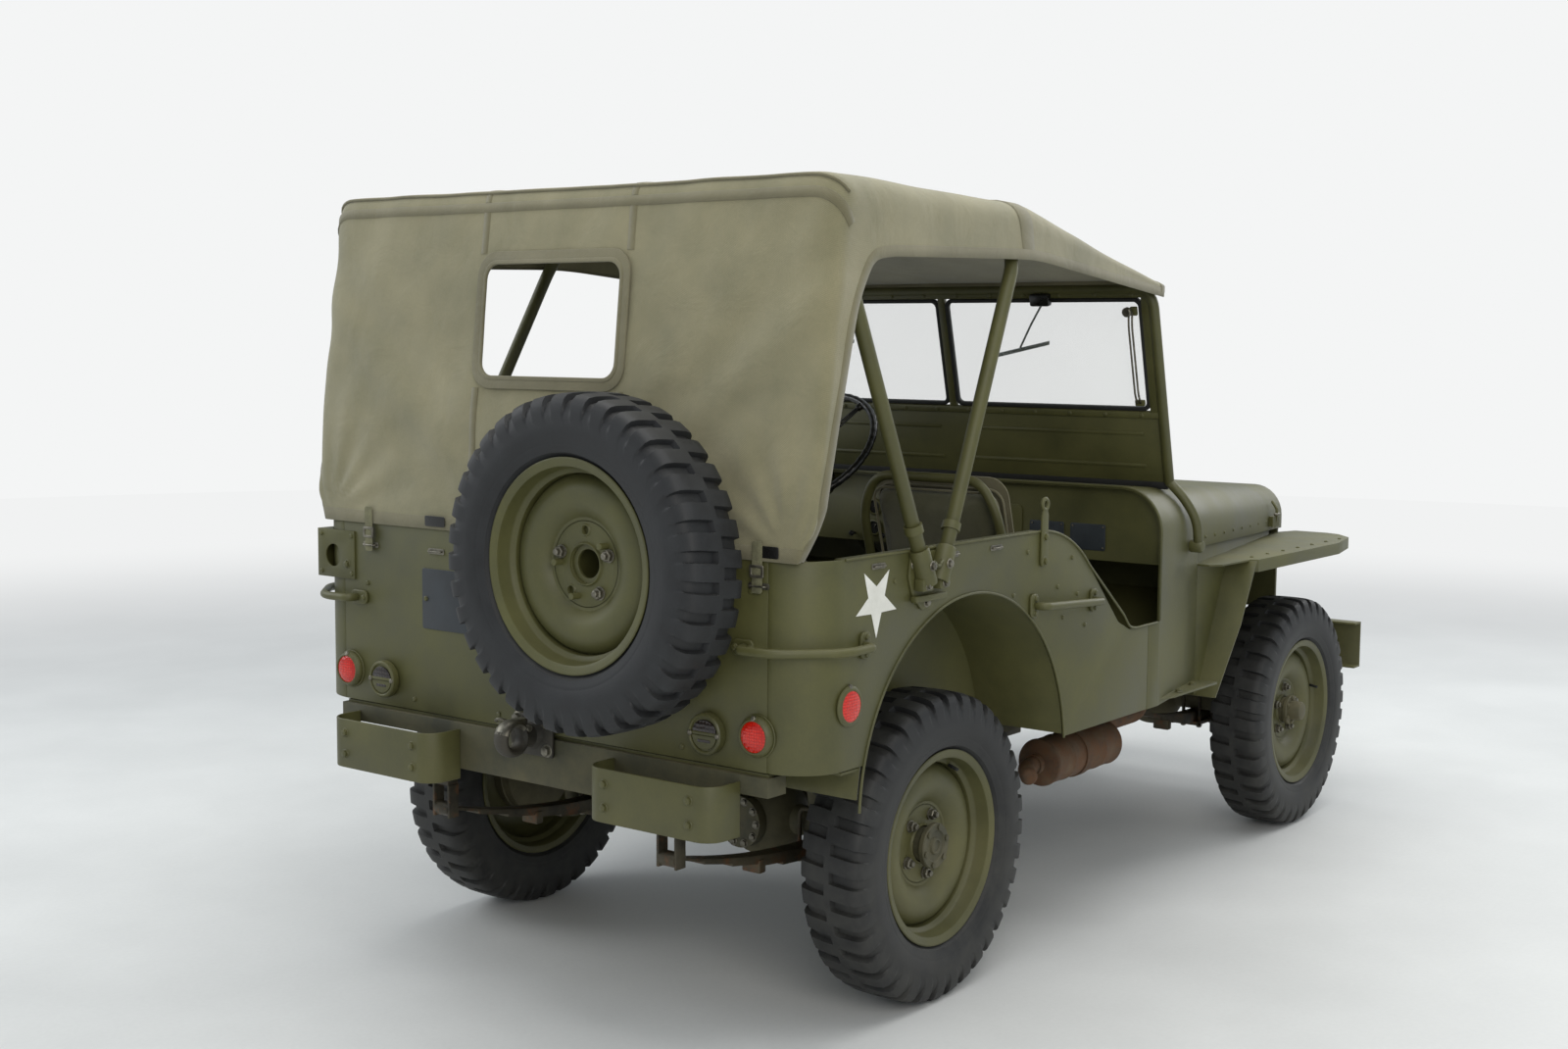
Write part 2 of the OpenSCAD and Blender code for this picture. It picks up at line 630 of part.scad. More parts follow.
// ---- cowl and windscreen ----
cowl_rear = [body_hw, sill_z, cowl_top, 115];
cowl_front = [hood_rear_hw, sill_z, hood_top, 110];
module cowl() color(paint) {
    difference() {
        loft(door_x, cowl_rear, firewall_x, cowl_front);
        loft(door_x - 1, shrink(cowl_rear, panel_t), firewall_x - panel_t, shrink(cowl_front, panel_t));
        // open underneath, ahead of the floor
        box([door_x - 2, -hood_rear_hw + 30, sill_z - 5], [firewall_x + 1, hood_rear_hw - 30, floor_z + 14]);
        column_hole(28);
        pin_x([firewall_x - 40, 0, 600], 60, 147);
    }
    // ledge at the foot of the cowl's side
    both() translate([0, 0, sill_z + 10]) linear_extrude(6) polygon([[dash_x - 8, body_hw - 6],
        [firewall_x - 3, hood_rear_hw - 6], [firewall_x - 3, body_hw + 8], [dash_x + 60, body_hw + 8]]);
    // front part of the door sill
    both() box([seam_x, inner_hw, sill_z], [door_x + 1, body_hw, door_sill]);
    // dash with its lower edge above the knees
    difference() {
        cross_plate(dash_x, 6) intersection() {
            arch_2d(body_hw - panel_t - 3, 880, cowl_top - panel_t - 1, 108);
            translate([-body_hw, 905]) square([body_w, 300]);
        }
        column_hole(28);
    }
    // hinge knuckles and pin for the hood
    both() {
        pin_y([hinge_x, 240, hinge_z], 100, 6);
        pin_y([hinge_x, 340, hinge_z], 180, 3);
        box([hinge_x - 40, 190, hood_top - 4], [hinge_x, 290, hinge_z - 3]);
    }
}
// half width of the cowl at x
function cowl_hw(x) = body_hw + (hood_rear_hw - body_hw) * (x - door_x) / (firewall_x - door_x);
module on_screen() translate([screen_x, 0, screen_z]) rotate([0, -screen_lean, 0]) children();
module windscreen_frame() color(paint) {
    h = screen_h;
    w = screen_hw - screen_r;
    on_screen() {
        tube([[0, -w, 0], [0, -w, h - 30], [0, -w + 30, h], [0, w - 30, h], [0, w, h - 30], [0, w, 0]], screen_r);
        // solid lower panel, then the ledge under the glass
        box([-4, -w, -2], [4, w, 182]);
        box([-10, -w, 178], [10, w, 200]);
        box([-10, -w, h - 24], [10, w, h]);
        both() box([-10, w - 34, 178], [10, w, h - 30]);
        box([-10, -12, 198], [10, 12, h - 20]);
    }
    // legs that reach down round the cowl's shoulders to its sides
    leg_x = screen_x + 40;
    leg_y = cowl_hw(leg_x) + 25;
    pad_y = cowl_hw(leg_x - 16) + gap;
    both() {
        tube([[screen_x, w, screen_z + 1], [screen_x + 10, w + 40, screen_z - 40],
            [screen_x + 25, leg_y + 2, screen_z - 100], [leg_x, leg_y, screen_z - 168]], screen_r - 1);
        pin_y([leg_x, (pad_y + leg_y + 16) / 2, screen_z - 172], leg_y + 16 - pad_y, 17);
    }
}
module windscreen_glass() color(glass) on_screen() both()
    box([-3, 12 + gap, 200 + gap], [3, screen_hw - screen_r - 34 - gap, screen_h - 24 - gap]);

// ---- tub ----
module tub_floor() color(paint) difference() {
    union() {
        seat_brackets();
        // front floor, step and load floor
        box([step_x, -house_y, floor_z], [toe_x, house_y, floor_z + 6]);
        both() box([arch_x + arch_r + 8, house_y - 1, floor_z], [seam_x, inner_hw, floor_z + 6]);
        box([seam_x - 1, -hood_rear_hw + 40, floor_z], [toe_x, hood_rear_hw - 40, floor_z + 6]);
        box([step_x, -house_y, floor_z], [step_x + 6, house_y, bed_z + 6]);
        box([tail_x + panel_t, -house_y, bed_z], [step_x + 6, house_y, bed_z + 6]);
        // toe board
        side_plate(-hood_rear_hw + 40, 2 * hood_rear_hw - 80) polygon([[toe_x - 6, floor_z],
            [toe_x, floor_z], [firewall_x - panel_t - 1, toe_z - 6], [firewall_x - panel_t - 1, toe_z]]);
        // wheel houses
        both() {
            intersection() {
                translate([arch_x, inner_hw, arch_z]) rotate([90, 0, 0]) difference() {
                    cylinder(h = inner_hw - house_y, r = arch_r + 5);
                    translate([0, 0, -1]) cylinder(h = inner_hw - house_y - 4, r = arch_r);
                }
                box([arch_x - 500, 0, floor_z], [arch_x + 500, body_hw, 1000]);
            }
            // tool lockers in the rear corners
            box([tail_x + corner_r, house_y, bed_z], [arch_x - 380, inner_hw, bed_z + 6]);
            box([tail_x + panel_t, house_y, bed_z], [tail_x + corner_r, inner_hw - corner_r + panel_t, bed_z + 6]);
            box([tail_x + panel_t, house_y, bed_z], [arch_x - 300, house_y + 4, 900]);
            box([tail_x + corner_r, house_y, 896], [arch_x - 160, inner_hw, 900]);
            box([tail_x + panel_t, house_y, 896], [tail_x + corner_r, inner_hw - corner_r + panel_t, 900]);
        }
    }
    column_hole(28);
    // the wheel houses stay hollow for the wheels
    both() translate([arch_x, body_hw + 1, arch_z]) rotate([90, 0, 0])
        cylinder(h = body_hw - house_y - 4, r = arch_r);
}

// the door opening falls from the body's top edge to the sill
door_top_x = rx + 300;
door_curve_r = 340;
module side_2d() {
    difference() {
        union() {
            translate([tail_x + corner_r, tail_z]) square([rx - tail_x - corner_r, rim_z - tail_z]);
            translate([rx, sill_z]) square([seam_x - rx, rim_z - sill_z]);
        }
        translate([arch_x, arch_z]) circle(r = arch_r, $fn = 128);
        door_2d();
    }
}
module door_2d() {
    slope_x = door_top_x + door_curve_r * sin(45);
    slope_z = rim_z - door_curve_r * (1 - cos(45));
    foot_x = slope_x + slope_z - door_sill;
    difference() {
        polygon([[door_top_x, rim_z + 1], [door_top_x, rim_z - 0.01], [slope_x, slope_z], [foot_x - 25, door_sill + 25],
            [foot_x + 35, door_sill], [seam_x + 1, door_sill], [seam_x + 1, rim_z + 1]]);
        intersection() {
            translate([door_top_x, rim_z - door_curve_r]) circle(r = door_curve_r, $fn = 128);
            translate([door_top_x - 1, slope_z]) square([door_curve_r, door_curve_r]);
        }
    }
}
module body_sides() color(paint) both() {
    side_plate(inner_hw, panel_t) side_2d();
    // round rear corner
    intersection() {
        translate([tail_x + corner_r, body_hw - corner_r, tail_z]) difference() {
            cylinder(h = rim_z - tail_z, r = corner_r);
            translate([0, 0, -1]) cylinder(h = rim_z - tail_z + 2, r = corner_r - panel_t);
        }
        box([tail_x - 1, body_hw - corner_r, tail_z], [tail_x + corner_r, body_hw + 1, rim_z]);
    }
    // rolled top edge
    box([tail_x + corner_r, inner_hw - 22, rim_z - 12], [door_top_x, inner_hw + 1, rim_z]);
}
module rear_panel() color(paint) {
    box([tail_x, -body_hw + corner_r, tail_z], [tail_x + panel_t, body_hw - corner_r, rim_z]);
    box([tail_x, -body_hw + corner_r, rim_z - 12], [tail_x + 28, body_hw - corner_r, rim_z]);
    // carrier of the spare wheel
    plate_x = spare_x - face + gap;
    for (y = [-50, 38]) side_plate(-spare_y + y, 12) polygon([[tail_x + 1, 850], [tail_x + 1, 1000],
        [tail_x - 30, 1026], [plate_x + 7, 1056], [plate_x + 7, 975]]);
    difference() {
        pin_x([plate_x, -spare_y, spare_z], 8, 88);
        pin_x([plate_x - 1, -spare_y, spare_z], 10, 30);
    }
    for (i = [0 : 2]) translate([0, -spare_y, spare_z]) rotate([i * 720 / stud_count, 0, 0])
        pin_x([plate_x - 30, stud_pcd / 2, 0], 34, 7);
}

// ---- seats and tank ----
seat_front = rx + 800;
cushion_z = 790;
seat_pivot = [seat_front - 30, floor_z + 6 + 22];               // x and z of the passenger seat's hinge
// a front seat about y = 0: tube frame with legs, cushion and back
module seat_frame(leg_z) {
    w = seat_w / 2 - 12;
    for (s = [-1, 1]) {
        tube([[seat_front - 20, s * w, cushion_z - 12], [rx + 455, s * w, cushion_z - 12],
            [rx + 370, s * w, 1060], [rx + 356, s * (w - 40), 1148], [rx + 356, 0, 1150]], 12);
        bar([seat_front - 30, s * w, leg_z], [seat_front - 30, s * w, cushion_z - 12], 12);
        bar([rx + 470, s * w, leg_z], [rx + 470, s * w, cushion_z - 12], 12);
    }
    bar([seat_front - 30, -w, cushion_z - 40], [seat_front - 30, w, cushion_z - 40], 10);
}
module seat_pads() {
    w = seat_w / 2 - 26;
    box([rx + 475, -w, cushion_z - 4], [seat_front - 10, w, cushion_z + 70]);
    side_plate(-w, 2 * w) polygon([[rx + 452, 850], [rx + 372, 1120], [rx + 404, 1130], [rx + 490, 864]]);
}
module driver_seat() color(canvas) translate([0, seat_y, 0]) {
    seat_frame(floor_z + 6);
    seat_pads();
}
eye_y = seat_w / 2 - 12;
module passenger_seat() color(canvas) translate([0, -seat_y, 0]) difference() {
    union() {
        difference() {
            seat_frame(floor_z + 6 + gap);
            // the front feet end in hinge eyes
            box([seat_pivot[0] - 20, -seat_w, floor_z], [seat_pivot[0] + 20, seat_w, seat_pivot[1]]);
        }
        for (s = [-1, 1]) pin_y([seat_pivot[0], s * eye_y, seat_pivot[1]], 22, 15);
        seat_pads();
    }
    for (s = [-1, 1]) pin_y([seat_pivot[0], s * eye_y, seat_pivot[1]], 30, 5 + gap);
}
// floor brackets and pins under the passenger seat's front feet
module seat_brackets() translate([0, -seat_y, 0]) for (s = [-1, 1]) {
    for (side = [-1, 1]) translate([seat_pivot[0] - 14, s * eye_y + side * 15 - 2, floor_z + 5])
        cube([28, 4, 36]);
    pin_y([seat_pivot[0], s * eye_y, seat_pivot[1]], 34, 5);
}
module rear_seat() color(canvas) {
    w = house_y - 25;
    box([rx - 250, -w, 800], [rx + 130, w, 880]);
    side_plate(-w, 2 * w) polygon([[rx - 250, 880], [rx - 320, 1150], [rx - 262, 1158], [rx - 190, 880]]);
    for (x = [rx - 230, rx + 110], y = [-w + 40, w - 40]) bar([x, y, bed_z + 6], [x, y, 801], 12);
}
module fuel_tank() color(paint)
    box([rx + 490, seat_y - 175, floor_z + 6], [seat_front - 60, seat_y + 175, cushion_z - 70]);

// ---- canvas top ----
// the roof's line from the windscreen back, as x and z of its outer side
screen_top_x = screen_x - screen_h * sin(screen_lean);
screen_top_z = screen_z + screen_h * cos(screen_lean);
front_edge = [screen_top_x + screen_r + 6, screen_top_z + screen_r + gap + canvas_t];
roof = [front_edge, [front_bow[0] + 30, roof_front], [rear_bow[0] + 40, roof_rear + 2],
    [rear_bow[0] - 18, roof_rear], [rear_bow[0] - 30, roof_rear - 30], [tail_x - 4, rim_z + gap]];
hem = [[tail_x + 14, rim_z + gap], [tail_x + 26, 1120], [rx - 500, 1350], [rx - 445, 1560], [rx - 390, 1640],
    [rx - 330, 1654], [front_bow[0] + 60, 1672], [front_edge[0], front_edge[1] - 30]];
module plan_2d(t) {
    polygon([[tail_x - 60, -740 + t], [rear_bow[0], -758 + t], [front_bow[0], -750 + t],
        [front_edge[0] + (t > 0 ? 1 : 0), -screen_hw - 8 + t], [front_edge[0] + (t > 0 ? 1 : 0), screen_hw + 8 - t],
        [front_bow[0], 750 - t], [rear_bow[0], 758 - t], [tail_x - 60, 740 - t]]);
}
module canvas_top() color(canvas) difference() {
    intersection() {
        side_plate(-800, 1600) polygon(concat(roof, hem));
        linear_extrude(2000) plan_2d(0);
    }
    // the hollow inside
    intersection() {
        side_plate(-800, 1600) polygon([[front_edge[0] + 1, front_edge[1] - canvas_t],
            [roof[1][0], roof[1][1] - canvas_t], [roof[2][0], roof[2][1] - canvas_t],
            [roof[3][0] + 5, roof[3][1] - canvas_t], [roof[4][0] + canvas_t, roof[4][1]],
            [roof[5][0] + canvas_t, roof[5][1]], [tail_x + 60, 900], [front_edge[0] + 1, 900]]);
        linear_extrude(2000) plan_2d(canvas_t);
    }
    // rear window
    translate([rx - 640, 0, 1518]) box([0, -window_w / 2, -window_h / 2], [200, window_w / 2, window_h / 2]);
}
module top_bows() color(paint) both() {
    // sockets on the outside of the body
    box([rx - 240, body_hw, 940], [rx - 120, body_hw + 6, 1040]);
    for (b = [[rx - 215, rear_bow], [rx - 150, front_bow]]) {
        foot = [b[0], bow_foot_y, 1000];
        top = [b[1][0], bow_y, b[1][1] - 90];
        tube([foot, top, [b[1][0], bow_y - 28, b[1][1] - 22], [b[1][0], bow_y - 90, b[1][1]],
            [b[1][0], 0, b[1][1]]], bow_r);
    }
}

// ---- fittings ----
lamps = [[620, 689, 42], [494, 679, 44]];   // y, z, radius
module rear_lamps() color(red) {
    both() for (l = lamps) pin_x([tail_x - 22, l[0], l[1]], 22, l[2]);
    both() pin_y([rx - 455, body_hw + 5, 747], 10, 40);
}
handle_r = 9;
// side handles from back to front: x, z
side_handle = [[rx + 275, 873], [rx + 555, 857]];
module grab_handles() color(paint) both() {
    out = body_hw + 34;
    a = side_handle[0];
    b = side_handle[1];
    mitred_tube([[a[0], body_hw, a[1]], [a[0], out, a[1]], [b[0], out, b[1]], [b[0], body_hw, b[1]]], handle_r);
    // handles round the rear corners
    mitred_tube([[rx - 413, body_hw, 865], [rx - 413, out, 865], [tail_x + 70, out, 865],
        [tail_x - 36, out - 106, 865], [tail_x - 36, 590, 865], [tail_x, 590, 865]], handle_r);
}
module antenna_bracket() color(paint) {
    // an open box on the left rear corner with a drilled face
    x = tail_x;
    difference() {
        box([x - 4, bracket_in, bracket_z], [x, bracket_out, bracket_z + bracket_high]);
        pin_x([x - 14, bracket_hole_y, bracket_z + 53], 30, antenna_hole_r);
    }
    difference() {
        union() {
            box([x - 2, bracket_out - 4, bracket_z], [x + 60, bracket_out, bracket_z + bracket_high]);
            for (z = [bracket_z, bracket_z + bracket_high - 4])
                box([x - 2, body_hw - corner_r + 12, z], [x + 60, bracket_out, z + 4]);
        }
        translate([x + corner_r, body_hw - corner_r, bracket_z - 5])
            cylinder(h = bracket_high + 10, r = corner_r + 0.3);
    }
}

frame();
front_bumper();
rear_bumperettes();
tow_hook();
leaf_springs();
shock_absorbers();
front_axle();
rear_axle();
knuckle_left();
knuckle_right();
tie_rod();
wheel_front_left();
wheel_front_right();
wheel_rear_left();
wheel_rear_right();
tyre_front_left();
tyre_front_right();
tyre_rear_left();
tyre_rear_right();
spare_wheel();
spare_tyre();
engine_block();
gearbox();
propeller_shafts();
exhaust();
steering_column();
steering_wheel();
grille();
radiator();
hood();
front_fenders();
cowl();
windscreen_frame();
windscreen_glass();
tub_floor();
body_sides();
rear_panel();
driver_seat();
passenger_seat();
rear_seat();
fuel_tank();
canvas_top();
top_bows();
rear_lamps();
grab_handles();
antenna_bracket();
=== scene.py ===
import random
from math import atan2, copysign, cos, exp, hypot, pi, radians, sin

import bmesh
import bpy
import numpy as np
from mathutils import Matrix, Vector, noise


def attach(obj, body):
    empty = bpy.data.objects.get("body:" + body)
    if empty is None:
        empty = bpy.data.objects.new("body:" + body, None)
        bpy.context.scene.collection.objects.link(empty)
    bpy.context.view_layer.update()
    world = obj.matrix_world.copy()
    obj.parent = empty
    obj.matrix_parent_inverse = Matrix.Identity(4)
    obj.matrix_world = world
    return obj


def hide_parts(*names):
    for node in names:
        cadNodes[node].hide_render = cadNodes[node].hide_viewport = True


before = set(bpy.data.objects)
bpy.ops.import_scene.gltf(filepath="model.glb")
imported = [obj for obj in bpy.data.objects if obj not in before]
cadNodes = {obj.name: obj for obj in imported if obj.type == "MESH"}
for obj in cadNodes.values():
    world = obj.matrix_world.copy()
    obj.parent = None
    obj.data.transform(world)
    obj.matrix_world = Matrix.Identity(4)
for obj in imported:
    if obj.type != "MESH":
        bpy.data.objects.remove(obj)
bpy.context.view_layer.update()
scene = bpy.context.scene
scene.view_settings.view_transform = "Standard"
dice = random.Random(41)
print("frame loaded")

# places along the vehicle, in metres, taken from the CAD's own parts
rearAxle = -0.885
frontAxle = 1.147
axleHeight = 0.35
hubSide = 0.6225
tailX = -1.465
bodySide = 0.752


# the camera stands low behind the right rear corner
camera = {"place": (-4.3967, -2.9374, 1.4775), "yaw": 36.983, "pitch": -5.534, "roll": 0.458, "lens": 43.48,
    "shift": -0.01248}


def setCamera(settings):
    yaw, pitch, roll = (radians(settings[k]) for k in ("yaw", "pitch", "roll"))
    look = Vector((cos(yaw) * cos(pitch), sin(yaw) * cos(pitch), sin(pitch)))
    right = look.cross(Vector((0, 0, 1))).normalized()
    up = right.cross(look)
    tiltedRight = right * cos(roll) + up * sin(roll)
    tiltedUp = up * cos(roll) - right * sin(roll)
    data = bpy.data.cameras.new("camera")
    data.lens = settings["lens"]
    data.sensor_width = 36
    data.shift_x = settings["shift"]
    data.clip_end = 100
    thing = bpy.data.objects.new("camera", data)
    scene.collection.objects.link(thing)
    turn = Matrix((tiltedRight, tiltedUp, -look)).transposed().to_4x4()
    thing.matrix_world = Matrix.Translation(settings["place"]) @ turn
    scene.camera = thing


setCamera(camera)


def linear(code):
    # sRGB hex to linear colour
    parts = [int(code[i:i + 2], 16) / 255 for i in (1, 3, 5)]
    return tuple(p / 12.92 if p <= 0.04045 else ((p + 0.055) / 1.055) ** 2.4 for p in parts) + (1.0,)


def addNode(tree, kind, settings=None, inputs=None):
    node = tree.nodes.new(kind)
    for key, value in (settings or {}).items():
        setattr(node, key, value)
    for key, value in (inputs or {}).items():
        if isinstance(value, bpy.types.NodeSocket):
            tree.links.new(value, node.inputs[key])
        else:
            node.inputs[key].default_value = value
    return node


def mixColours(tree, factor, a, b, blend="MIX"):
    node = addNode(tree, "ShaderNodeMix", {"data_type": "RGBA", "blend_type": blend})
    for socket, value in ((node.inputs[0], factor), (node.inputs[6], a), (node.inputs[7], b)):
        if isinstance(value, bpy.types.NodeSocket):
            tree.links.new(value, socket)
        else:
            socket.default_value = value
    return node.outputs[2]


def arithmetic(tree, operation, a, b=0.0, clamp=False):
    return addNode(tree, "ShaderNodeMath", {"operation": operation, "use_clamp": clamp},
        {0: a, 1: b}).outputs[0]


def spread(tree, value, low, high, toLow=0.0, toHigh=1.0):
    return addNode(tree, "ShaderNodeMapRange", None, {"Value": value, "From Min": low, "From Max": high,
        "To Min": toLow, "To Max": toHigh}).outputs["Result"]


def newMaterial(name):
    mat = bpy.data.materials.new(name)
    mat.use_nodes = True
    tree = mat.node_tree
    coords = addNode(tree, "ShaderNodeTexCoord").outputs["Object"]
    return mat, tree, tree.nodes["Principled BSDF"], coords


def makeFinish(name, look):
    # blotches of tens of millimetres, a fine grain, and dust that settles low down and on upward faces
    mat, tree, shader, coords = newMaterial(name)
    blotch = addNode(tree, "ShaderNodeTexNoise", None, {"Vector": coords, "Scale": 1000 / look["blotch"],
        "Detail": 5.0, "Roughness": 0.62}).outputs["Fac"]
    grain = addNode(tree, "ShaderNodeTexNoise", None, {"Vector": coords, "Scale": 1000 / look["grain"],
        "Detail": 2.0}).outputs["Fac"]
    colour = mixColours(tree, spread(tree, blotch, 0.32, 0.7), linear(look["dark"]), linear(look["light"]))
    shade = spread(tree, grain, 0.2, 0.8, 1 - look.get("grainShade", 0.08), 1 + look.get("grainShade", 0.08))
    colour = addNode(tree, "ShaderNodeVectorMath", {"operation": "MULTIPLY"}, {0: colour, 1: addNode(tree,
        "ShaderNodeCombineXYZ", None, {0: shade, 1: shade, 2: shade}).outputs[0]}).outputs[0]
    dust = look.get("dust", 0)
    if dust:
        place = addNode(tree, "ShaderNodeSeparateXYZ", None, {0: coords}).outputs["Z"]
        facing = addNode(tree, "ShaderNodeSeparateXYZ", None,
            {0: addNode(tree, "ShaderNodeNewGeometry").outputs["Normal"]}).outputs["Z"]
        low = spread(tree, place, 0.75, 0.25)
        upward = spread(tree, facing, 0.3, 1.0, 0.0, 0.6)
        amount = arithmetic(tree, "MULTIPLY", arithmetic(tree, "ADD", low, upward, True), spread(tree, blotch,
            0.35, 0.7, 0.25, 1.0))
        colour = mixColours(tree, arithmetic(tree, "MULTIPLY", amount, dust), colour,
            linear(look.get("dustColour", "#8a8064")))
    if "rust" in look:
        patch = addNode(tree, "ShaderNodeTexNoise", None, {"Vector": coords, "Scale": 1000 / 45.0,
            "Detail": 7.0, "Roughness": 0.7}).outputs["Fac"]
        colour = mixColours(tree, spread(tree, patch, 0.56 - look["rust"] * 0.2, 0.66), colour,
            linear("#6b4a30"))
    tree.links.new(colour, shader.inputs["Base Color"])
    rough = spread(tree, blotch, 0.3, 0.7, look["rough"] - look.get("roughSpread", 0.07),
        look["rough"] + look.get("roughSpread", 0.07))
    tree.links.new(rough, shader.inputs["Roughness"])
    shader.inputs["Metallic"].default_value = look.get("metal", 0.0)
    if not look.get("metal"):
        shader.inputs["IOR"].default_value = look.get("ior", 1.5)
    bump = addNode(tree, "ShaderNodeBump", None, {"Height": grain, "Distance": look.get("depth", 0.3) / 1000,
        "Strength": look.get("bump", 0.35)})
    tree.links.new(bump.outputs[0], shader.inputs["Normal"])
    return mat


# alkyd army enamel, sprayed: flat, slightly chalky, browner where it is dusty
olivePaint = makeFinish("olive drab alkyd enamel", {"dark": "#444426", "light": "#57562e", "blotch": 210.0,
    "grain": 5.0, "rough": 0.52, "roughSpread": 0.09, "dust": 0.15, "depth": 0.25, "grainShade": 0.05})
# the same enamel made darker as painted shade under the chassis, with the road dirt that stays on it mixed in
# as dust
chassisEnamelInPaintedShade = makeFinish("chassis enamel in painted shade with road dirt", {"dark": "#2f3021", "light": "#46452c",
    "blotch": 120.0, "grain": 4.0, "rough": 0.68, "dust": 0.45, "depth": 0.5})
# vulcanised natural rubber, moulded: near black, grey-blue bloom, dusty in the grooves
tyreRubber = makeFinish("vulcanised tyre rubber", {"dark": "#141517", "light": "#232527", "blotch": 60.0,
    "grain": 3.0, "rough": 0.62, "dust": 0.16, "dustColour": "#6e6a5c", "depth": 0.5, "grainShade": 0.14})
# grey cast iron, sand cast and oily
castIron = makeFinish("sand-cast iron", {"dark": "#2c2b28", "light": "#44413a", "blotch": 90.0, "grain": 3.0,
    "rough": 0.6, "metal": 0.35, "depth": 0.9, "bump": 0.6, "dust": 0.3})
# mild steel gone brown with heat
rustySteel = makeFinish("heat-browned exhaust steel", {"dark": "#3b2f27", "light": "#6a5442", "blotch": 55.0,
    "grain": 3.0, "rough": 0.78, "metal": 0.3, "rust": 1.0, "depth": 0.7, "bump": 0.6, "dust": 0.25})
# bright steel bolts and pins, phosphated and worn
wornSteel = makeFinish("worn phosphated steel", {"dark": "#57544a", "light": "#8b877a", "blotch": 20.0,
    "grain": 2.0, "rough": 0.42, "metal": 0.8, "depth": 0.3})
# spring steel leaves under chassis paint, rubbed bare at the tips
springSteel = makeFinish("oil-blackened spring steel", {"dark": "#26241f", "light": "#3d392f", "blotch": 70.0,
    "grain": 2.5, "rough": 0.55, "metal": 0.4, "dust": 0.3, "rust": 0.2})
# black bakelite and moulded hard rubber, gone dull with hands
bakelite = makeFinish("moulded black bakelite", {"dark": "#131312", "light": "#1f1f1d", "blotch": 90.0,
    "grain": 2.0, "rough": 0.3, "depth": 0.15})
# soft rubber strip
softRubber = makeFinish("extruded black rubber", {"dark": "#161716", "light": "#222322", "blotch": 40.0,
    "grain": 2.0, "rough": 0.7, "depth": 0.3})
# lead white gloss enamel, brushed through a stencil
whitePaint = makeFinish("stencilled white enamel", {"dark": "#d5d5cc", "light": "#e9e9e2", "blotch": 60.0,
    "grain": 3.0, "rough": 0.5, "depth": 0.3, "grainShade": 0.03})
# cotton webbing straps
webbing = makeFinish("cotton webbing", {"dark": "#5c5b45", "light": "#77755a", "blotch": 30.0, "grain": 2.5,
    "rough": 0.9, "depth": 0.8, "bump": 0.7, "grainShade": 0.25})
# a painted steel plate, dark blue-grey and matt
darkPlate = makeFinish("dark enamelled plate", {"dark": "#23282c", "light": "#30363b", "blotch": 80.0,
    "grain": 3.0, "rough": 0.45, "depth": 0.1})
# the honeycomb of the radiator in black lacquer
coreBlack = makeFinish("black lacquered radiator core", {"dark": "#151615", "light": "#232422",
    "blotch": 50.0, "grain": 4.0, "rough": 0.5, "metal": 0.3, "depth": 1.5, "bump": 0.8})


def makeCloth(name, look):
    # plain weave: two sets of threads at right angles on the cloth's own measure, drawn coarse enough to show
    mat = bpy.data.materials.new(name)
    mat.use_nodes = True
    tree = mat.node_tree
    shader = tree.nodes["Principled BSDF"]
    objectCoords = addNode(tree, "ShaderNodeTexCoord").outputs["Object"]
    if look["onMap"]:
        coords = addNode(tree, "ShaderNodeUVMap", {"uv_map": "cut"}).outputs[0]
    else:
        coords = objectCoords
    split = addNode(tree, "ShaderNodeSeparateXYZ", None, {0: coords})
    threads = 2 * pi * 1000 / look["thread"]
    across = split.outputs["Y"] if look["onMap"] else arithmetic(tree, "ADD", split.outputs["Y"],
        split.outputs["Z"])
    warp = arithmetic(tree, "SINE", arithmetic(tree, "MULTIPLY", split.outputs["X"], threads))
    weft = arithmetic(tree, "SINE", arithmetic(tree, "MULTIPLY", across, threads))
    weave = spread(tree, arithmetic(tree, "MULTIPLY", warp, weft), -1.0, 1.0)
    fade = addNode(tree, "ShaderNodeTexNoise", None, {"Vector": objectCoords, "Scale": 4.2, "Detail": 6.0,
        "Roughness": 0.6}).outputs["Fac"]
    slub = addNode(tree, "ShaderNodeTexNoise", None, {"Vector": objectCoords, "Scale": 260.0,
        "Detail": 3.0}).outputs["Fac"]
    colour = mixColours(tree, spread(tree, fade, 0.3, 0.7), linear(look["dark"]), linear(look["light"]))
    fleck = spread(tree, arithmetic(tree, "ADD", weave, slub), 0.3, 1.7, 0.88, 1.1)
    colour = addNode(tree, "ShaderNodeVectorMath", {"operation": "MULTIPLY"}, {0: colour, 1: addNode(tree,
        "ShaderNodeCombineXYZ", None, {0: fleck, 1: fleck, 2: fleck}).outputs[0]}).outputs[0]
    tree.links.new(colour, shader.inputs["Base Color"])
    shader.inputs["Roughness"].default_value = look["rough"]
    shader.inputs["Sheen Weight"].default_value = 0.25
    shader.inputs["Sheen Roughness"].default_value = 0.6
    shader.inputs["Specular IOR Level"].default_value = 0.25
    crease = addNode(tree, "ShaderNodeTexNoise", None, {"Vector": objectCoords, "Scale": 9.0, "Detail": 4.0,
        "Distortion": 0.6}).outputs["Fac"]
    first = addNode(tree, "ShaderNodeBump", None, {"Height": weave, "Distance": 0.0006, "Strength": 0.5})
    second = addNode(tree, "ShaderNodeBump", None, {"Height": crease, "Distance": 0.012, "Strength": 0.4,
        "Normal": first.outputs[0]})
    tree.links.new(second.outputs[0], shader.inputs["Normal"])
    return mat


# treated cotton duck of the top, faded grey-green; the weave is drawn 4 mm wide to show
topCanvas = makeCloth("treated cotton duck", {"dark": "#737055", "light": "#8c8668", "thread": 4.0,
    "rough": 0.88, "onMap": True})
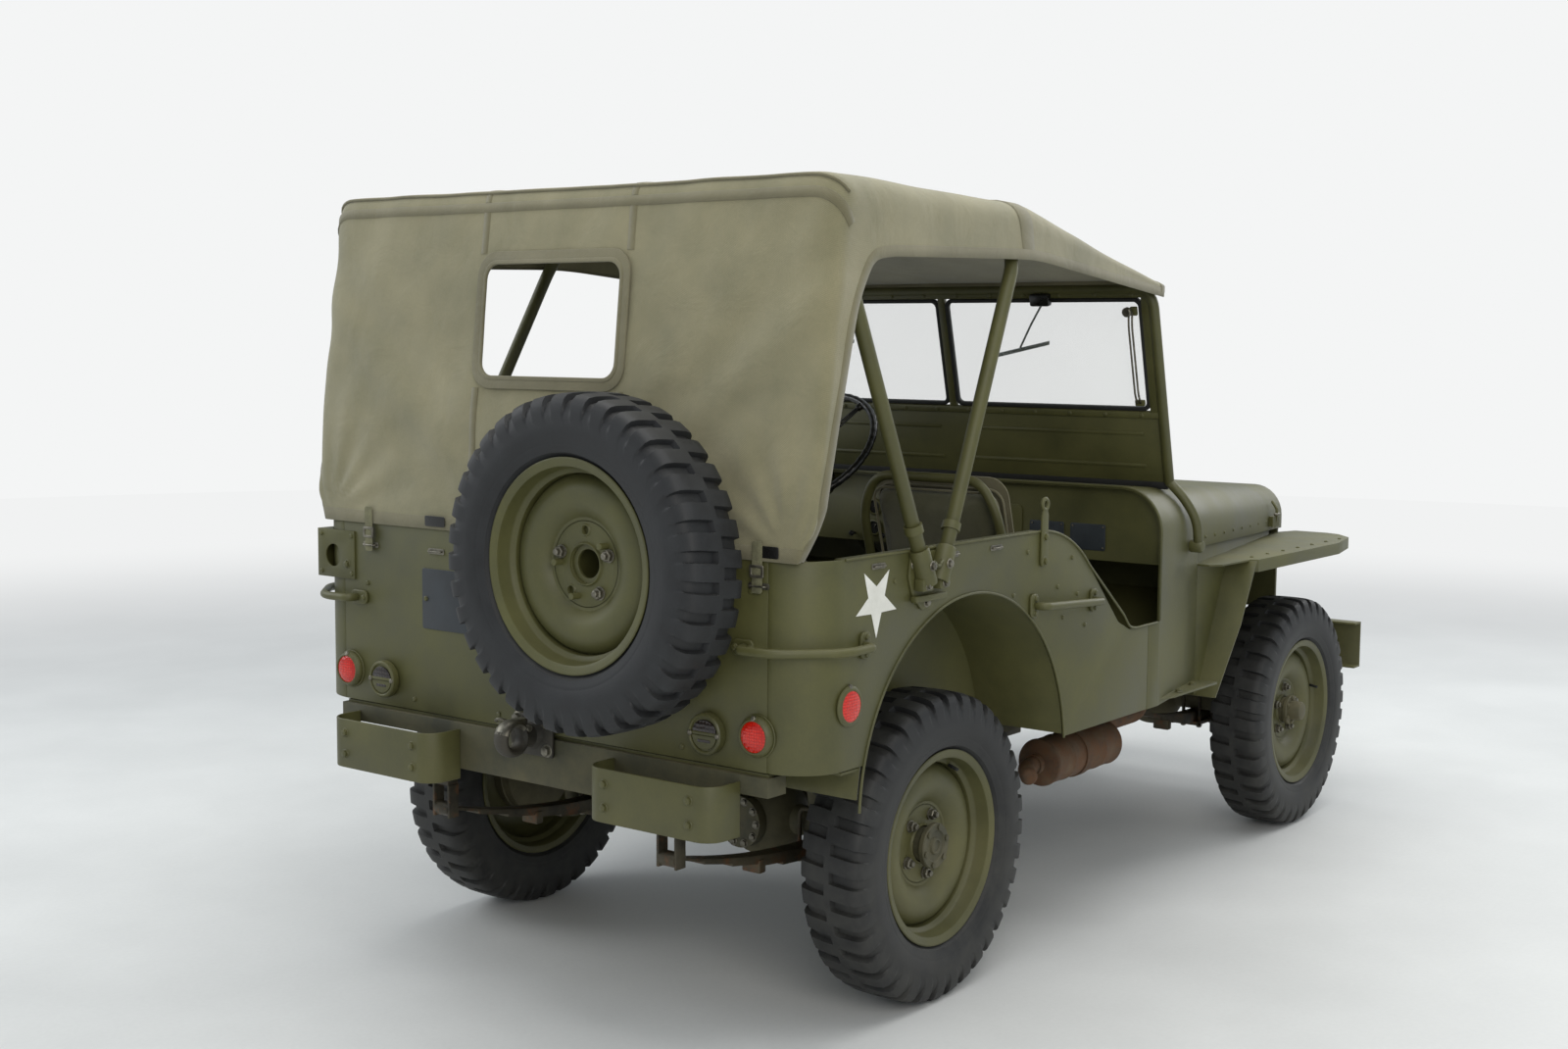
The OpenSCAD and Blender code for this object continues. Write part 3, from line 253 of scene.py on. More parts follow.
# the same duck folded double at hems, seams and bindings
seamCanvas = makeCloth("doubled duck at the seams", {"dark": "#635f47", "light": "#79745a", "thread": 4.0,
    "rough": 0.9, "onMap": False})
# heavier olive duck on the seats
seatCanvas = makeCloth("olive seat duck", {"dark": "#4c4c36", "light": "#62614a", "thread": 4.0, "rough": 0.9,
    "onMap": False})


def makeGlass(name, colour, rough, alpha):
    # thin sheet: mostly clear, with a faint tint and a sharp reflection
    mat, tree, shader, coords = newMaterial(name)
    smear = addNode(tree, "ShaderNodeTexNoise", None, {"Vector": coords, "Scale": 6.0,
        "Detail": 5.0}).outputs["Fac"]
    tree.links.new(spread(tree, smear, 0.3, 0.7, rough, rough + 0.08), shader.inputs["Roughness"])
    tree.links.new(mixColours(tree, smear, linear(colour), linear("#dfe6e2")), shader.inputs["Base Color"])
    shader.inputs["Alpha"].default_value = alpha
    shader.inputs["IOR"].default_value = 1.52
    return mat


# flat laminated windscreen glass
windowGlass = makeGlass("laminated windscreen glass", "#b4c4bc", 0.03, 0.14)


def makeLens(name, dark, light, ribs, glow=0.0):
    # pressed glass: moulded ribs inside, a coloured body and a glossy face
    mat, tree, shader, coords = newMaterial(name)
    cells = addNode(tree, "ShaderNodeTexVoronoi", {"feature": "F1"}, {"Vector": coords, "Scale": 1000 / ribs,
        "Randomness": 0.25}).outputs["Distance"]
    tree.links.new(mixColours(tree, spread(tree, cells, 0.1, 0.6), linear(light), linear(dark)),
        shader.inputs["Base Color"])
    shader.inputs["Roughness"].default_value = 0.2
    shader.inputs["Coat Weight"].default_value = 0.1
    shader.inputs["IOR"].default_value = 1.52
    # glow is painted light: an emission on the lens, though the lens is no lamp
    if glow:
        shader.inputs["Emission Color"].default_value = linear(light)
        shader.inputs["Emission Strength"].default_value = glow
    bump = addNode(tree, "ShaderNodeBump", None, {"Height": cells, "Distance": 0.002, "Strength": 0.5})
    tree.links.new(bump.outputs[0], shader.inputs["Normal"])
    return mat


# pressed red glass reflector with a pattern of small prisms, given a faint painted glow that stands in for
# the light it reflects, and clear pressed lenses in front
redLens = makeLens("pressed red glass with painted glow", "#960d03", "#d6230a", 6.0, 0.12)
clearLens = makeLens("pressed clear glass", "#8f9890", "#c9d0c8", 14.0)
# smoked glass of the blackout lamps
smokedLens = makeLens("smoked blackout glass", "#1b1513", "#2f2521", 9.0)

print("materials made")


# shape helpers: each returns a mesh in the row frame
def meshFrom(verts, faces, smooth=True, angle=38, fix=True):
    form = bmesh.new()
    made = [form.verts.new(v) for v in verts]
    for face in faces:
        if len(set(face)) > 2:
            try:
                form.faces.new([made[i] for i in face])
            except ValueError:
                pass
    bmesh.ops.remove_doubles(form, verts=form.verts, dist=1e-6)
    if fix:
        bmesh.ops.recalc_face_normals(form, faces=form.faces)
    return toMesh(form, smooth, angle)


def toMesh(form, smooth=True, angle=38):
    mesh = bpy.data.meshes.new("shape")
    form.to_mesh(mesh)
    form.free()
    if smooth:
        mesh.shade_smooth()
        mesh.set_sharp_from_angle(angle=radians(angle))
    return mesh


def merged(parts):
    # parts: meshes, or pairs of a mesh and its material index
    form = bmesh.new()
    for part in parts:
        mesh, index = part if isinstance(part, tuple) else (part, 0)
        before = len(form.faces)
        form.from_mesh(mesh)
        form.faces.ensure_lookup_table()
        for face in form.faces[before:]:
            face.material_index = index
    mesh = bpy.data.meshes.new("shape")
    form.to_mesh(mesh)
    form.free()
    return mesh


def moved(mesh, place):
    copy = mesh.copy()
    copy.transform(place)
    if place.determinant() < 0:
        copy.flip_normals()
    return copy


def addPiece(name, shape, finish, body="body", replaces=()):
    mesh = shape if isinstance(shape, bpy.types.Mesh) else merged(shape)
    mesh.name = name
    piece = bpy.data.objects.new(name, mesh)
    scene.collection.objects.link(piece)
    mesh.materials.clear()
    mesh.materials.append(finish)
    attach(piece, body)
    if replaces:
        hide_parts(*replaces)
    return piece


def filleted(points, radius, steps=5):
    # the same line with its corners rounded
    points = [Vector(p) for p in points]
    line = [points[0]]
    for before, corner, after in zip(points, points[1:], points[2:]):
        a, b = before - corner, after - corner
        reach = min(radius, a.length * 0.48, b.length * 0.48)
        start, end = corner + a.normalized() * reach, corner + b.normalized() * reach
        for i in range(steps + 1):
            t = i / steps
            line.append(start * (1 - t) ** 2 + corner * 2 * t * (1 - t) + end * t ** 2)
    line.append(points[-1])
    return line


def sweep(points, radius, sides=14, closed=False, squash=1.0, flat=None):
    # a round bar along the points, its ends slightly domed; squash flattens it along the flat direction
    points = [Vector(p) for p in points]
    radii = radius if isinstance(radius, (list, tuple)) else [radius] * len(points)
    count = len(points)
    along = []
    for i in range(count):
        if closed:
            along.append((points[(i + 1) % count] - points[i - 1]).normalized())
        else:
            along.append((points[min(i + 1, count - 1)] - points[max(i - 1, 0)]).normalized())
    side = Vector(flat) if flat else along[0].orthogonal()
    rings = []
    for i in range(count):
        side = (side - along[i] * side.dot(along[i])).normalized()
        other = along[i].cross(side)
        rings.append((points[i], side.copy(), other, radii[i], along[i]))
    verts, faces = [], []
    rows = []
    if not closed:
        p, s, o, r, a = rings[0]
        rows.append((p - a * r * 0.25, s, o, r * 0.7))
        rows += [(p, s, o, r) for p, s, o, r, a in rings]
        p, s, o, r, a = rings[-1]
        rows.append((p + a * r * 0.25, s, o, r * 0.7))
    else:
        rows = [(p, s, o, r) for p, s, o, r, a in rings]
    for p, s, o, r in rows:
        for k in range(sides):
            t = 2 * pi * k / sides
            verts.append(p + s * r * squash * cos(t) + o * r * sin(t))
    total = len(rows)
    for i in range(total if closed else total - 1):
        for k in range(sides):
            m = (k + 1) % sides
            n = (i + 1) % total
            faces.append((i * sides + k, i * sides + m, n * sides + m, n * sides + k))
    if not closed:
        faces.append(tuple(range(sides)))
        faces.append(tuple((total - 1) * sides + k for k in range(sides)))
    return meshFrom(verts, faces, angle=50)


def ringSweep(centre, radius, thickness, axis="x", steps=64, sides=10):
    points = []
    for i in range(steps):
        t = 2 * pi * i / steps
        a, b = radius * cos(t), radius * sin(t)
        points.append(Vector(centre) + (Vector((0, a, b)) if axis == "x" else Vector((a, 0, b)) if axis == "y"
            else Vector((a, b, 0))))
    return sweep(points, thickness, sides, closed=True)


def lathe(profile, steps=72, closed=False, angle=32):
    # profile: distance along the axis and radius; turned about +X, its start at the origin
    verts, faces = [], []
    rows = len(profile)
    for a, r in profile:
        for k in range(steps):
            t = 2 * pi * k / steps
            verts.append((a, r * cos(t), r * sin(t)))
    for i in range(rows if closed else rows - 1):
        n = (i + 1) % rows
        for k in range(steps):
            m = (k + 1) % steps
            faces.append((i * steps + k, i * steps + m, n * steps + m, n * steps + k))
    if not closed:
        faces.append(tuple(range(steps)))
        faces.append(tuple((rows - 1) * steps + k for k in range(steps)))
    form = bmesh.new()
    made = [form.verts.new(v) for v in verts]
    for face in faces:
        form.faces.new([made[i] for i in face])
    bmesh.ops.remove_doubles(form, verts=form.verts, dist=1e-5)
    bmesh.ops.dissolve_degenerate(form, edges=form.edges, dist=1e-6)
    bmesh.ops.recalc_face_normals(form, faces=form.faces)
    return toMesh(form, True, angle)


def towards(place, direction):
    # a matrix that takes +X to the direction and the origin to the place
    x = Vector(direction).normalized()
    y = x.orthogonal().normalized() if abs(x.z) > 0.9 else Vector((0, 0, 1)).cross(x).normalized()
    z = x.cross(y)
    return Matrix.Translation(place) @ Matrix((x, y, z)).transposed().to_4x4()


def turned(profile, place, direction, steps=48, closed=False):
    return moved(lathe(profile, steps, closed), towards(place, direction))


def block(low, high, bevel=0.003, segments=2, turn=None):
    form = bmesh.new()
    bmesh.ops.create_cube(form, size=1)
    low, high = Vector(low), Vector(high)
    size = high - low
    bevel = min(bevel, min(size) * 0.45)
    bmesh.ops.scale(form, vec=size, verts=form.verts)
    bmesh.ops.bevel(form, geom=form.edges[:] + form.verts[:], offset=bevel, segments=segments, affect="EDGES",
        profile=0.5)
    bmesh.ops.translate(form, vec=(low + high) / 2, verts=form.verts)
    if turn:
        bmesh.ops.transform(form, matrix=turn, verts=form.verts)
    return toMesh(form, True, 35)


def plate(outline, thickness, place, holes=(), edge=0.0012, resolution=2):
    # a flat plate with rounded edges: the outline lies in the place's XY plane, its thickness centred on it
    curve = bpy.data.curves.new("outline", "CURVE")
    curve.dimensions = "2D"
    curve.fill_mode = "BOTH"
    curve.bevel_depth = edge
    curve.bevel_resolution = resolution
    curve.extrude = max(thickness / 2 - edge, 0.0001)
    curve.offset = -edge
    for loop in [outline, *holes]:
        spline = curve.splines.new("POLY")
        spline.points.add(len(loop) - 1)
        for point, (x, y) in zip(spline.points, loop):
            point.co = (x, y, 0, 1)
        spline.use_cyclic_u = True
    thing = bpy.data.objects.new("outline", curve)
    scene.collection.objects.link(thing)
    mesh = bpy.data.meshes.new_from_object(thing.evaluated_get(bpy.context.evaluated_depsgraph_get()))
    bpy.data.objects.remove(thing)
    form = bmesh.new()
    form.from_mesh(mesh)
    bmesh.ops.remove_doubles(form, verts=form.verts, dist=1e-6)
    bmesh.ops.recalc_face_normals(form, faces=form.faces)
    bmesh.ops.transform(form, matrix=place, verts=form.verts)
    return toMesh(form, True, 40)


def roundedRectangle(width, height, radius, steps=6, centre=(0, 0)):
    points = []
    for sx, sy, start in ((1, 1, 0), (-1, 1, 90), (-1, -1, 180), (1, -1, 270)):
        for i in range(steps + 1):
            t = radians(start + 90 * i / steps)
            points.append((centre[0] + sx * (width / 2 - radius) + radius * cos(t),
                centre[1] + sy * (height / 2 - radius) + radius * sin(t)))
    return points


def circlePoints(radius, steps=32, centre=(0, 0)):
    return [(centre[0] + radius * cos(2 * pi * i / steps), centre[1] + radius * sin(2 * pi * i / steps))
        for i in range(steps)]


# planes to lay plates in: facing +X with the outline's x along Y, and facing +Y with it along X
def facingX(x, y=0.0, z=0.0):
    return Matrix.Translation((x, y, z)) @ Matrix(((0, 0, 1), (1, 0, 0), (0, 1, 0))).to_4x4()


def facingY(y, x=0.0, z=0.0):
    return Matrix.Translation((x, y, z)) @ Matrix(((1, 0, 0), (0, 0, -1), (0, 1, 0))).to_4x4()


def softened(nodeName, width, finish, body="body", segments=2):
    # the CAD part's own shape with its sharp edges rolled over
    form = bmesh.new()
    form.from_mesh(cadNodes[nodeName].data)
    bmesh.ops.remove_doubles(form, verts=form.verts, dist=2e-5)
    bmesh.ops.dissolve_degenerate(form, edges=form.edges, dist=1e-5)
    bmesh.ops.dissolve_limit(form, angle_limit=radians(1.0), verts=form.verts, edges=form.edges)
    sharp = [e for e in form.edges if len(e.link_faces) == 2 and e.calc_face_angle(0) > radians(32)]
    bmesh.ops.bevel(form, geom=sharp, offset=width, segments=segments, affect="EDGES", profile=0.5,
        clamp_overlap=True)
    bmesh.ops.triangulate(form, faces=[f for f in form.faces if len(f.verts) > 4])
    mesh = toMesh(form, True, 40)
    return addPiece(nodeName + "_finish", mesh, finish, body, [nodeName])


# bolt heads and rivets: one tree, its sizes are named inputs
def makeFastenerTree():
    tree = bpy.data.node_groups.new("fasteners", "GeometryNodeTree")
    tree.interface.new_socket("Geometry", in_out="INPUT", socket_type="NodeSocketGeometry")
    for label, value in (("head radius", 0.008), ("head height", 0.006), ("washer radius", 0.012)):
        tree.interface.new_socket(label, in_out="INPUT", socket_type="NodeSocketFloat").default_value = value
    tree.interface.new_socket("sides", in_out="INPUT", socket_type="NodeSocketInt").default_value = 6
    tree.interface.new_socket("metal", in_out="INPUT", socket_type="NodeSocketMaterial")
    tree.interface.new_socket("Geometry", in_out="OUTPUT", socket_type="NodeSocketGeometry")
    given = addNode(tree, "NodeGroupInput")
    head = addNode(tree, "GeometryNodeMeshCylinder", None, {"Vertices": given.outputs["sides"],
        "Radius": given.outputs["head radius"], "Depth": given.outputs["head height"]})
    washer = addNode(tree, "GeometryNodeMeshCone", None, {"Vertices": 20, "Radius Top": addNode(tree,
        "ShaderNodeMath", {"operation": "MULTIPLY"}, {0: given.outputs["washer radius"], 1: 0.88}).outputs[0],
        "Radius Bottom": given.outputs["washer radius"], "Depth": 0.0016})
    crown = addNode(tree, "GeometryNodeMeshCone", None, {"Vertices": given.outputs["sides"],
        "Radius Top": addNode(tree, "ShaderNodeMath", {"operation": "MULTIPLY"},
            {0: given.outputs["head radius"], 1: 0.62}).outputs[0],
        "Radius Bottom": given.outputs["head radius"], "Depth": 0.0015})
    lift = addNode(tree, "GeometryNodeTransform", None, {"Geometry": head.outputs["Mesh"],
        "Translation": addNode(tree, "ShaderNodeCombineXYZ", None, {"Z": addNode(tree, "ShaderNodeMath",
            {"operation": "MULTIPLY"}, {0: given.outputs["head height"], 1: 0.5}).outputs[0]}).outputs[0]})
    raised = addNode(tree, "GeometryNodeTransform", None, {"Geometry": crown.outputs["Mesh"],
        "Translation": addNode(tree, "ShaderNodeCombineXYZ", None,
            {"Z": given.outputs["head height"]}).outputs[0]})
    whole = addNode(tree, "GeometryNodeJoinGeometry")
    for part in (washer.outputs["Mesh"], lift.outputs[0], raised.outputs[0]):
        tree.links.new(part, whole.inputs[0])
    facing = addNode(tree, "GeometryNodeInputNamedAttribute", {"data_type": "FLOAT_VECTOR"},
        {"Name": "facing"})
    turn = addNode(tree, "FunctionNodeAlignRotationToVector", {"axis": "Z"},
        {"Vector": facing.outputs["Attribute"]})
    copies = addNode(tree, "GeometryNodeInstanceOnPoints", None, {"Points": given.outputs[0],
        "Instance": whole.outputs[0], "Rotation": turn.outputs[0]})
    real = addNode(tree, "GeometryNodeRealizeInstances", None, {0: copies.outputs[0]})
    coloured = addNode(tree, "GeometryNodeSetMaterial", None, {"Geometry": real.outputs[0],
        "Material": given.outputs["metal"]})
    addNode(tree, "NodeGroupOutput", None, {0: coloured.outputs[0]})
    return tree


fastenerTree = makeFastenerTree()


def addFasteners(name, spots, sizes, finish, body="body"):
    # spots: place and facing of each head
    points = bpy.data.meshes.new(name)
    points.from_pydata([tuple(p) for p, d in spots], [], [])
    facing = points.attributes.new("facing", "FLOAT_VECTOR", "POINT")
    facing.data.foreach_set("vector", [c for p, d in spots for c in Vector(d).normalized()])
    thing = bpy.data.objects.new(name, points)
    scene.collection.objects.link(thing)
    modifier = thing.modifiers.new("fasteners", "NODES")
    modifier.node_group = fastenerTree
    names = {s.name: s.identifier for s in fastenerTree.interface.items_tree if s.in_out == "INPUT"}
    for label, value in sizes.items():
        modifier[names[label]] = value
    modifier[names["metal"]] = finish
    bpy.context.view_layer.update()
    mesh = bpy.data.meshes.new_from_object(thing.evaluated_get(bpy.context.evaluated_depsgraph_get()))
    bpy.data.objects.remove(thing)
    mesh.shade_smooth()
    mesh.set_sharp_from_angle(angle=radians(30))
    return addPiece(name, mesh, finish, body)


hexBolt = {"head radius": 0.008, "head height": 0.006, "washer radius": 0.011, "sides": 6}
bigBolt = {"head radius": 0.011, "head height": 0.009, "washer radius": 0.015, "sides": 6}
roundScrew = {"head radius": 0.0055, "head height": 0.0022, "washer radius": 0.006, "sides": 16}


# tyres: bar treads that alternate left and right, cut round the shoulder
tyre = {"bars": 36, "barShare": 0.29, "ramp": 0.04, "slant": 0.16, "carcass": [(0.059, 0.2085),
    (0.0625, 0.2225), (0.067, 0.2262), (0.0745, 0.23), (0.079, 0.242), (0.0812, 0.248), (0.0812, 0.2505),
    (0.0825, 0.252), (0.0825, 0.285), (0.0815, 0.3), (0.08, 0.308), (0.0765, 0.318), (0.0715, 0.327),
    (0.063, 0.3335), (0.048, 0.337), (0.03, 0.338), (0.011, 0.3384), (0.007, 0.3384), (0.0, 0.3385)],
    "bar": [0, 0, 0, 0, 0, 0, 0, 0, 0, (0.0817, 0.3), (0.0817, 0.311), (0.08, 0.325), (0.0755, 0.337),
        (0.067, 0.3455), (0.05, 0.3488), (0.03, 0.3496), (0.011, 0.35), (0.007, 0.35), (0.0, 0.35)]}


def tyreShape():
    half = []
    for base, top in zip(tyre["carcass"], tyre["bar"]):
        half.append((base, top if top else base))
    # across the tread from the left bead to the right one, the bars reaching just past the middle
    section = half + [((-b[0], b[1]), (-t[0], t[1])) for b, t in half[-2::-1]]
    share, ramp = tyre["barShare"], tyre["ramp"]
    stops = sorted({round(s % 1, 4) for c in (0.25, 0.75) for s in (c - share - ramp, c - share,
        c - share * 0.33, c + share * 0.33, c + share, c + share + ramp)})
    columns = [(i + s) / tyre["bars"] for i in range(tyre["bars"]) for s in stops]
    phases = [s for i in range(tyre["bars"]) for s in stops]

    def lifted(phase, middle):
        away = abs((phase - middle + 0.5) % 1 - 0.5)
        return 1.0 if away <= share + 1e-6 else 0.0

    verts, faces = [], []
    rows = len(section)
    for column, phase in zip(columns, phases):
        left, right = lifted(phase, 0.25), lifted(phase, 0.75)
        for base, top in section:
            reach = 0.009
            up = max(left if base[0] > -reach else 0.0, right if base[0] < reach else 0.0)
            a = base[0] * (1 - up) + top[0] * up
            r = base[1] * (1 - up) + top[1] * up
            turn = 2 * pi * (column + tyre["slant"] / tyre["bars"] * base[0] / 0.08 * (1 if base[1] > 0.29
                else 0))
            verts.append((a, r * cos(turn), r * sin(turn)))
    for i in range(len(columns)):
        n = (i + 1) % len(columns)
        for k in range(rows - 1):
            faces.append((i * rows + k, n * rows + k, n * rows + k + 1, i * rows + k + 1))
        # the inside of the bead
        faces.append((i * rows + rows - 1, n * rows + rows - 1, n * rows, i * rows))
    return meshFrom(verts, faces, angle=42)


# steel disc wheels: rim flange, well, crowned dish and nuts; profiles run along the axle, outer side positive
wheelSizes = {"studCircle": 0.06985}
rimProfile = [(-0.07, 0.218), (-0.069, 0.221), (-0.066, 0.2215), (-0.063, 0.215), (-0.061, 0.2085),
    (-0.058, 0.2072), (-0.037, 0.204), (-0.033, 0.202), (-0.027, 0.193), (-0.023, 0.192), (0.016, 0.192),
    (0.02, 0.193), (0.027, 0.202), (0.031, 0.204), (0.058, 0.2072), (0.061, 0.2085), (0.063, 0.215),
    (0.066, 0.2212), (0.069, 0.221), (0.0702, 0.218), (0.069, 0.214), (0.0672, 0.206), (0.065, 0.202),
    (0.06, 0.2005), (0.035, 0.1982), (0.031, 0.196), (0.025, 0.1875), (0.02, 0.1862), (-0.027, 0.1862),
    (-0.031, 0.1875), (-0.039, 0.198), (-0.06, 0.201), (-0.066, 0.205)]
dishProfile = [(0.004, 0.088), (0.0045, 0.095), (0.008, 0.101), (0.018, 0.109), (0.025, 0.118),
    (0.0295, 0.13), (0.03, 0.142), (0.028, 0.155), (0.02, 0.169), (0.005, 0.181), (-0.006, 0.186),
    (-0.006, 0.1868), (0.006, 0.1868), (0.011, 0.184), (0.025, 0.175), (0.033, 0.162), (0.0365, 0.15),
    (0.0372, 0.138), (0.035, 0.125), (0.029, 0.113), (0.02, 0.102), (0.0125, 0.096), (0.011, 0.09),
    (0.011, 0.088)]


def discShape():
    holes = [circlePoints(0.04, 40)] + [circlePoints(0.0085, 14, (wheelSizes["studCircle"] * cos(t),
        wheelSizes["studCircle"] * sin(t))) for t in [radians(72 * i) for i in range(5)]]
    flat = plate(circlePoints(0.0905, 72), 0.007, Matrix.Identity(4), holes, 0.001)
    flat.transform(Matrix(((0, 0, 1, 0.0075), (1, 0, 0, 0), (0, 1, 0, 0), (0, 0, 0, 1))))
    rows = [lathe(rimProfile, 96, True, 30), lathe(dishProfile, 96, True, 30), flat]
    # raised lips pressed round the stud holes
    for i in range(5):
        t = radians(72 * i)
        rows.append(moved(lathe([(0.01, 0.0085), (0.0135, 0.0095), (0.0135, 0.0115), (0.01, 0.0145)], 20,
            True), Matrix.Translation((0, wheelSizes["studCircle"] * cos(t),
                wheelSizes["studCircle"] * sin(t)))))
    rows.append(lathe([(0.0085, 0.04), (0.0155, 0.0415), (0.0155, 0.0435), (0.0105, 0.0465)], 48, True))
    return rows


def nutShape(count=5, circle=0.06985, low=0.011, radius=0.0125, height=0.015, start=0.0, stud=0.007):
    parts = []
    for i in range(count):
        t = radians(start + 360 * i / count)
        place = Matrix.Translation((low, circle * cos(t), circle * sin(t))) @ Matrix.Rotation(0.7 * i, 4, "X")
        parts.append(moved(lathe([(0, radius * 0.8), (0.002, radius * 1.12), (0.004, radius * 1.12),
            (0.0045, radius)], 24), place))
        parts.append(moved(lathe([(0.004, radius), (height - 0.002, radius), (height, radius * 0.82)], 6,
            angle=20), place))
        if stud:
            parts.append(moved(lathe([(height - 0.001, stud), (height + 0.006, stud), (height + 0.0075,
                stud * 0.7)], 14), place))
    return parts


def hubShape(front):
    parts = [lathe([(-0.046, 0.11), (-0.046, 0.118), (-0.03, 0.1185), (-0.028, 0.121), (-0.024, 0.121),
        (-0.022, 0.1185), (0.0, 0.1175), (0.0035, 0.114), (0.0037, 0.04)], 72)]
    if front:
        # drive flange with its bolts and a protruding cap
        parts.append(lathe([(0.004, 0.0385), (0.026, 0.0385), (0.03, 0.045), (0.04, 0.0455), (0.042, 0.044),
            (0.042, 0.03), (0.07, 0.0295), (0.076, 0.026), (0.078, 0.018), (0.0782, 0.0)], 48))
        parts += nutShape(6, 0.0375, 0.041, 0.0062, 0.006, 12, 0)
    else:
        # bolted flange of the full-floating shaft, hollow round its middle
        parts.append(lathe([(0.004, 0.0385), (0.03, 0.0385), (0.034, 0.048), (0.038, 0.052), (0.048, 0.0522),
            (0.0505, 0.0505), (0.0505, 0.036), (0.047, 0.033), (0.047, 0.02), (0.052, 0.018), (0.053, 0.014),
            (0.05, 0.012), (0.05, 0.0)], 48))
        parts += nutShape(6, 0.043, 0.05, 0.0062, 0.005, 12, 0)
    return parts


def addWheels():
    tyreMesh = tyreShape()
    disc = merged(discShape())
    print("tyre faces", len(tyreMesh.polygons))
    for end, x in (("front", frontAxle), ("rear", rearAxle)):
        for side, sign in (("left", 1), ("right", -1)):
            place = towards((x, sign * hubSide, axleHeight), (0, sign, 0)) @ Matrix.Rotation(dice.uniform(0,
                1.2), 4, "X")
            body = f"{end}_{side}_wheel"
            addPiece(f"barTyre_{end}_{side}", moved(tyreMesh, place), tyreRubber, body,
                replaces=[f"tyre_{end}_{side}"])
            addPiece(f"discWheel_{end}_{side}", [moved(disc, place)], olivePaint, body,
                replaces=[f"wheel_{end}_{side}"])
            # hubs take the chassis enamel darkened with painted shade
            addPiece(f"hub_{end}_{side}", [moved(m, place) for m in hubShape(end == "front")], chassisEnamelInPaintedShade,
                body)
            addPiece(f"wheelNuts_{end}_{side}", [moved(m, place) for m in nutShape()], wornSteel, body)
            addPiece(f"tyreValve_{end}_{side}", moved(sweep([(0.026, 0.188, 0), (0.052, 0.18, 0)], 0.004, 8),
                place), softRubber, body)
    place = towards((-1.5925, -0.28, 1.022), (-1, 0, 0)) @ Matrix.Rotation(0.5, 4, "X")
    addPiece("barTyre_spare", moved(tyreMesh, place), tyreRubber, replaces=["spare_tyre"])
    place = towards((-1.5925, -0.28, 1.022), (-1, 0, 0)) @ Matrix.Rotation(radians(90), 4, "X")
    addPiece("discWheel_spare", [moved(disc, place)], olivePaint, replaces=["spare_wheel"])


addWheels()
print("wheels made")


# sheet metal that keeps the CAD's own shape, its edges rolled
for nodeName, roll in (("body_sides", 0.0022), ("rear_panel", 0.0022), ("front_fenders", 0.002),
        ("cowl", 0.0018), ("grille", 0.0025), ("front_bumper", 0.0022), ("rear_bumperettes", 0.002),
        ("antenna_bracket", 0.0014), ("fuel_tank", 0.018)):
    softened(nodeName, roll, olivePaint)
softened("hood", 0.0018, olivePaint, "hood_lid")
softened("tub_floor", 0.0012, olivePaint)
# frame, shocks, axles, knuckles and steering column take the enamel darkened with painted shade
for nodeName, roll, body in (("frame", 0.003, "body"), ("shock_absorbers", 0.002, "body"), ("front_axle",
        0.003, "body"), ("rear_axle", 0.003, "body"), ("knuckle_left", 0.003, "left_knuckle"),
        ("knuckle_right", 0.003, "right_knuckle"), ("steering_column", 0.003, "body")):
    softened(nodeName, roll, chassisEnamelInPaintedShade, body)
softened("leaf_springs", 0.001, springSteel)
softened("engine_block", 0.02, castIron)
softened("gearbox", 0.012, castIron)
softened("propeller_shafts", 0.002, castIron)
softened("radiator", 0.006, coreBlack)
softened("tie_rod", 0.002, wornSteel, "tie_rod_link")
print("sheet metal and running gear made")


# the canvas top: one sheet over both bows, down the rear and round its corners
canvas = {"roof": [(0.16, 1.6385), (-0.645, 1.794), (-1.323, 1.8105), (-1.381, 1.809), (-1.393, 1.78),
    (-1.468, 1.046)], "hem": [(0.16, 1.61), (-0.615, 1.672), (-1.215, 1.654), (-1.275, 1.64), (-1.33, 1.56),
        (-1.385, 1.35), (-1.439, 1.12), (-1.451, 1.046)], "pairs": [((0.16, 1.6385), (0.16, 1.61)),
        ((-0.645, 1.794), (-0.615, 1.672)), ((-1.25, 1.809), (-1.215, 1.654)), ((-1.378, 1.809),
            (-1.262, 1.643)), ((-1.393, 1.78), (-1.292, 1.615)), ((-1.405, 1.66), (-1.338, 1.53)),
        ((-1.468, 1.046), (-1.451, 1.046))], "window": (0.41, 0.255, 1.518, 0.035), "thickness": 0.0018,
    "step": 0.0115, "sideSteps": 13, "seamSide": 0.215}


def alongLine(points):
    points = [Vector((p[0], 0, p[1])) for p in points]
    lengths = [0.0]
    for a, b in zip(points, points[1:]):
        lengths.append(lengths[-1] + (b - a).length)
    return points, lengths


def pointAt(points, lengths, distance):
    distance = min(max(distance, 0), lengths[-1])
    for i in range(len(points) - 1):
        if distance <= lengths[i + 1] + 1e-9:
            t = (distance - lengths[i]) / max(lengths[i + 1] - lengths[i], 1e-9)
            return points[i].lerp(points[i + 1], t)
    return points[-1]


def distanceOf(points, lengths, target):
    target = Vector((target[0], 0, target[1]))
    best = (9, 0)
    for i in range(len(points) - 1):
        way = points[i + 1] - points[i]
        t = min(max((target - points[i]).dot(way) / max(way.length_squared, 1e-12), 0), 1)
        best = min(best, ((points[i] + way * t - target).length, lengths[i] + t * way.length))
    return best[1]


def canvasHalfWidth(x, z):
    if x > -0.675:
        wide = 0.75 + (0.681 - 0.75) * (x + 0.675) / (0.16 + 0.675)
    else:
        wide = 0.75 + 0.008 * min((-0.675 - x) / 0.688, 1)
    if z < 1.7 and x < -1.2:
        wide -= 0.006 * (1.7 - z) / 0.65 + 0.04 * max(0, (1.16 - z) / 0.115) ** 1.6
    return wide


